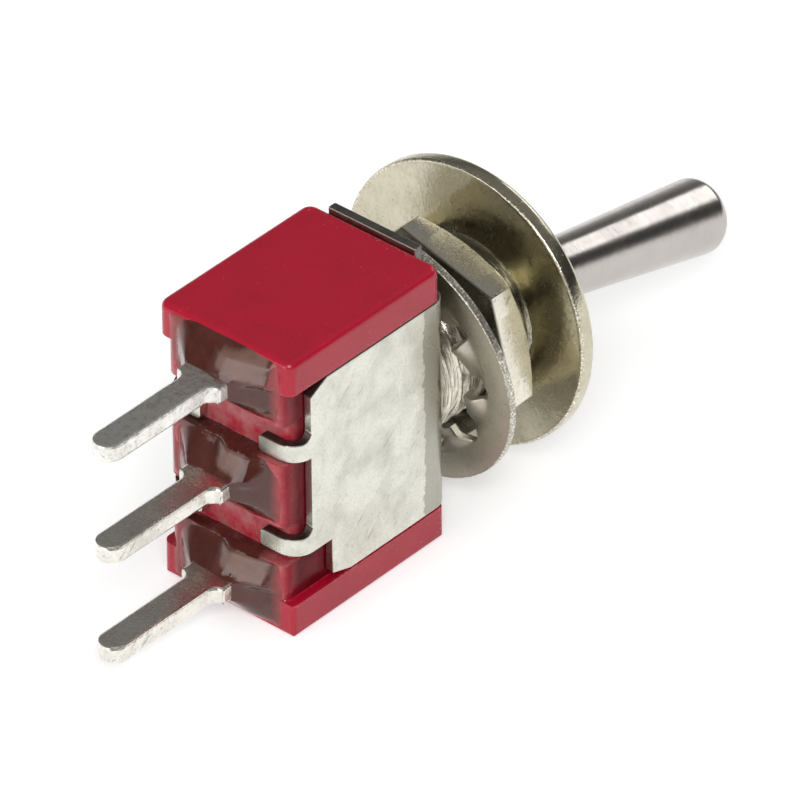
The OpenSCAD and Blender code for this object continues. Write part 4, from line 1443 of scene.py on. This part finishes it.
@dataclass
class ToggleLever:
    """Turned lever with a rounded tip, a pivot ball and a hollow tail."""

    pivot: float = 5.9
    tilt: float = 13.0
    length: float = 13.495
    root_r: float = 1.09
    tip_r: float = 1.59
    tip_edge: float = 0.55
    dome: float = 0.02
    ball: float = 1.85
    tail: float = 1.15
    tail_l: float = 8.4
    tail_edge: float = 0.06
    bore: float = 0.75
    bore_end: float = 3.9
    bore_tip: float = 0.02
    step: float = 0.05
    sides: int = 128

    def build(self, shop: Workshop) -> None:
        """Make the lever.

        Args:
            shop: Workshop that makes the pieces.
        """
        slope = (self.tip_r - self.root_r) / self.length
        edge_s = self.length - self.tip_edge
        edge_r = self.root_r + slope * edge_s - self.tip_edge
        outline = [(edge_r * k / 6, self.length - self.dome * (k / 6) ** 2) for k in range(1, 6)]
        outline += [(r, s) for s, r in corner((edge_s, edge_r), self.tip_edge, 0, 90, 10)]
        joint = math.sqrt(self.ball ** 2 - self.root_r ** 2)
        outline += [(self.root_r + slope * s, s) for s in np.linspace(edge_s - 2 * self.step, joint, 24)]
        neck = math.sqrt(self.ball ** 2 - self.tail ** 2)
        outline += [(math.sqrt(self.ball ** 2 - s * s), s) for s in np.linspace(joint - self.step, -neck, 24)]
        outline += [(self.tail, s) for s in np.linspace(-neck - self.step, self.tail_edge - self.tail_l, 8)]
        outline += [(self.tail - self.tail_edge, -self.tail_l), (self.bore, -self.tail_l),
                    (self.bore, -self.bore_end), (self.bore_tip, -self.bore_end)]
        angles = circle(self.sides)
        shell = Shell()
        shell.loft(np.array([ring(s, r, angles) for r, s in outline]))
        stand = Matrix.Translation((self.pivot, 0, 0)) @ Matrix.Rotation(math.radians(self.tilt), 4, "Y")
        shop.piece("chrome_lever", shell.mesh("chrome_lever", stand, crease=40), (LEVER_PLATE,), Body.LEVER,
                   Slot.LEVER, "lever")


@dataclass
class InnerWorks:
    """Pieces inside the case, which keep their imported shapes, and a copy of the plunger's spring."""

    spring_l: float = 3.0
    slide: float = 0.5
    spring_foot: Point = (2.1, 0.0, 0.877)
    tilt: float = 13.0
    finishes: dict[str, Finish] = field(default_factory=lambda: {
        "cross_pin": PIN_STEEL, "plunger": PLUNGER_NYLON, "rocker": ROCKER_COPPER,
        "upper_moving_contact": CONTACT_SILVER, "lower_moving_contact": CONTACT_SILVER,
        "upper_fixed_contact": CONTACT_SILVER, "lower_fixed_contact": CONTACT_SILVER})

    def build(self, shop: Workshop) -> None:
        """Dress the pieces and make the spring.

        Args:
            shop: Workshop that makes the pieces.
        """
        for node, finish in self.finishes.items():
            shop.dress(node, finish)
        mesh = shop.nodes["plunger_spring"].data.copy()
        coil = shop.piece("coil_spring", mesh, (SPRING_STEEL,), Body.LEVER, Slot.SPRING, "plunger_spring")
        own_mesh(coil)


@dataclass(frozen=True)
class Softbox:
    """Soft lamp that faces the switch, with lengths in millimetres and its power in watts."""

    name: str
    place: Point
    size: Span
    watts: float

    def hang(self) -> None:
        """Hang the lamp in its place."""
        data = bpy.data.lights.new(self.name, "AREA")
        data.shape = "RECTANGLE"
        data.size, data.size_y = (length * MM for length in self.size)
        data.energy = self.watts
        lamp = put(self.name, data)
        lamp.location = Vector(self.place) * MM
        lamp.rotation_euler = Vector(self.place).to_track_quat("Z", "Y").to_euler()


@dataclass
class Studio:
    """Camera of the photograph, a pale floor and soft light."""

    azimuth: float = -48.508
    elevation: float = 35.814
    roll: float = -0.529
    distance: float = 432.62
    aim: Point = (-0.348, -1.125, -0.978)
    lens: float = 507.44
    sensor: float = 36.0
    clip: Span = (0.01, 50.0)
    floor_z: float = -6.35
    floor_half: float = 3000.0
    floor_tone: Colour = (0.8, 0.8, 0.8)
    floor_glow: float = 0.4
    front_sky: tuple[Span, ...] = ((0.0, 0.9), (0.11, 0.03), (0.40, 0.04), (0.60, 0.16), (0.90, 0.22))
    back_sky: tuple[Span, ...] = ((0.0, 0.75), (0.12, 0.40), (0.40, 0.07), (0.60, 0.18), (0.90, 0.22))
    sky_tint: Colour = (1.0, 0.98, 0.95)
    sky_turn: Span = (0.1, 0.5)
    fill: Colour = (0.5, 0.5, 0.5)
    backdrop: Colour = (1.0, 1.0, 1.0)
    lamps: tuple[Softbox, ...] = (Softbox("front_softbox", (440, -10, 235), (310, 120), 0.3),
                                  Softbox("camera_softbox", (-300, -300, 380), (220, 220), 1.5),
                                  Softbox("pin_end_softbox", (-445, 65, 150), (340, 225), 0.65))

    def camera(self) -> None:
        """Set the camera where the photograph was taken from."""
        a, e, r = (math.radians(v) for v in (self.azimuth, self.elevation, self.roll))
        back = Vector((math.sin(a) * math.cos(e), -math.cos(a) * math.cos(e), math.sin(e)))
        level = (-back).cross(Vector((0, 0, 1))).normalized()
        right = level * math.cos(r) + back.cross(level) * math.sin(r)
        up = back.cross(right)
        data = bpy.data.cameras.new("photo_camera")
        data.sensor_width = self.sensor
        data.lens = self.lens
        data.clip_start, data.clip_end = self.clip
        camera = put("photo_camera", data)
        place = (Vector(self.aim) + back * self.distance) * MM
        camera.matrix_world = Matrix.Translation(place) @ Matrix((right, up, back)).transposed().to_4x4()
        bpy.context.scene.camera = camera

    def floor(self) -> None:
        """Lay a pale floor under the case, white to the camera and in reflections."""
        mesh = bpy.data.meshes.new("floor")
        h, z = self.floor_half * MM, self.floor_z * MM
        mesh.from_pydata([(-h, -h, z), (h, -h, z), (h, h, z), (-h, h, z)], [], [(0, 1, 2, 3)])
        floor = put("floor", mesh)
        material = bpy.data.materials.new("pale_floor")
        sheet = NodeSheet(material)
        rays = sheet.node("LightPath")
        seen = sheet.maths("MAXIMUM", rays["Is Camera Ray"], rays["Is Glossy Ray"])
        seen = sheet.maths("MAXIMUM", seen, rays["Is Transmission Ray"])
        paint = sheet.node("BsdfDiffuse", {"Color": (*self.floor_tone, 1.0)})
        glow = sheet.node("Emission", {"Strength": sheet.times(seen, self.floor_glow)})
        sheet.node("OutputMaterial", {"Surface": sheet.node("AddShader", {0: paint[0], 1: glow[0]})[0]})
        mesh.materials.append(material)

    def world(self) -> None:
        """Surround the switch with a white horizon that darkens overhead in reflections."""
        world = bpy.data.worlds.new("studio")
        bpy.context.scene.world = world
        sheet = NodeSheet(world)
        rays = sheet.node("LightPath")
        way = sheet.node("TexCoord")["Generated"]
        turn = sheet.remap(sheet.split(way, "Y"), *self.sky_turn)
        sky = sheet.blend(turn, *(self._ramp(sheet, stops, sheet.split(way, "Z"))
                                  for stops in (self.front_sky, self.back_sky)))
        fill, mirror, plain = (sheet.node("Background", {"Color": shade})[0]
                               for shade in ((*self.fill, 1.0), sky, (*self.backdrop, 1.0)))
        mirrored = sheet.maths("MAXIMUM", rays["Is Glossy Ray"], rays["Is Transmission Ray"])
        hidden = sheet.node("MixShader", {0: mirrored, 1: fill, 2: mirror})[0]
        shown = sheet.node("MixShader", {0: rays["Is Camera Ray"], 1: hidden, 2: plain})[0]
        sheet.node("OutputWorld", {"Surface": shown})

    def _ramp(self, sheet: NodeSheet, stops: Sequence[Span], height: Socket) -> Socket:
        """Shade of the sky by height.

        Args:
            sheet: Sheet of the world.
            stops: Pairs of a height and its grey.
            height: Socket of the height.

        Returns:
            The colour socket.
        """
        colour = sheet.node("ValToRGB", {"Fac": height})["Color"]
        elements = colour.node.color_ramp.elements
        while len(elements) < len(stops):
            elements.new(1.0)
        for element, (place, grey) in zip(elements, stops):
            element.position, element.color = place, (*(grey * tint for tint in self.sky_tint), 1.0)
        return colour

    def build(self) -> None:
        """Set up the whole studio."""
        self.camera()
        self.floor()
        self.world()
        for lamp in self.lamps:
            lamp.hang()
        bpy.context.scene.view_settings.view_transform = "Standard"


def main() -> None:
    """Build the switch's looks piece by piece and report them."""
    logging.basicConfig(level=logging.INFO, format="%(name)s: %(message)s")
    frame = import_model()
    shop = Workshop(frame)
    for part in (MouldedCase(), FoldedBracket(), PinSet(), ResinSeals(), ThreadedBush(), LockWasher(),
                 HexNut(), FaceWasher(), ToggleLever(), InnerWorks()):
        part.build(shop)
    Studio().build()


if __name__ == "__main__":
    main()
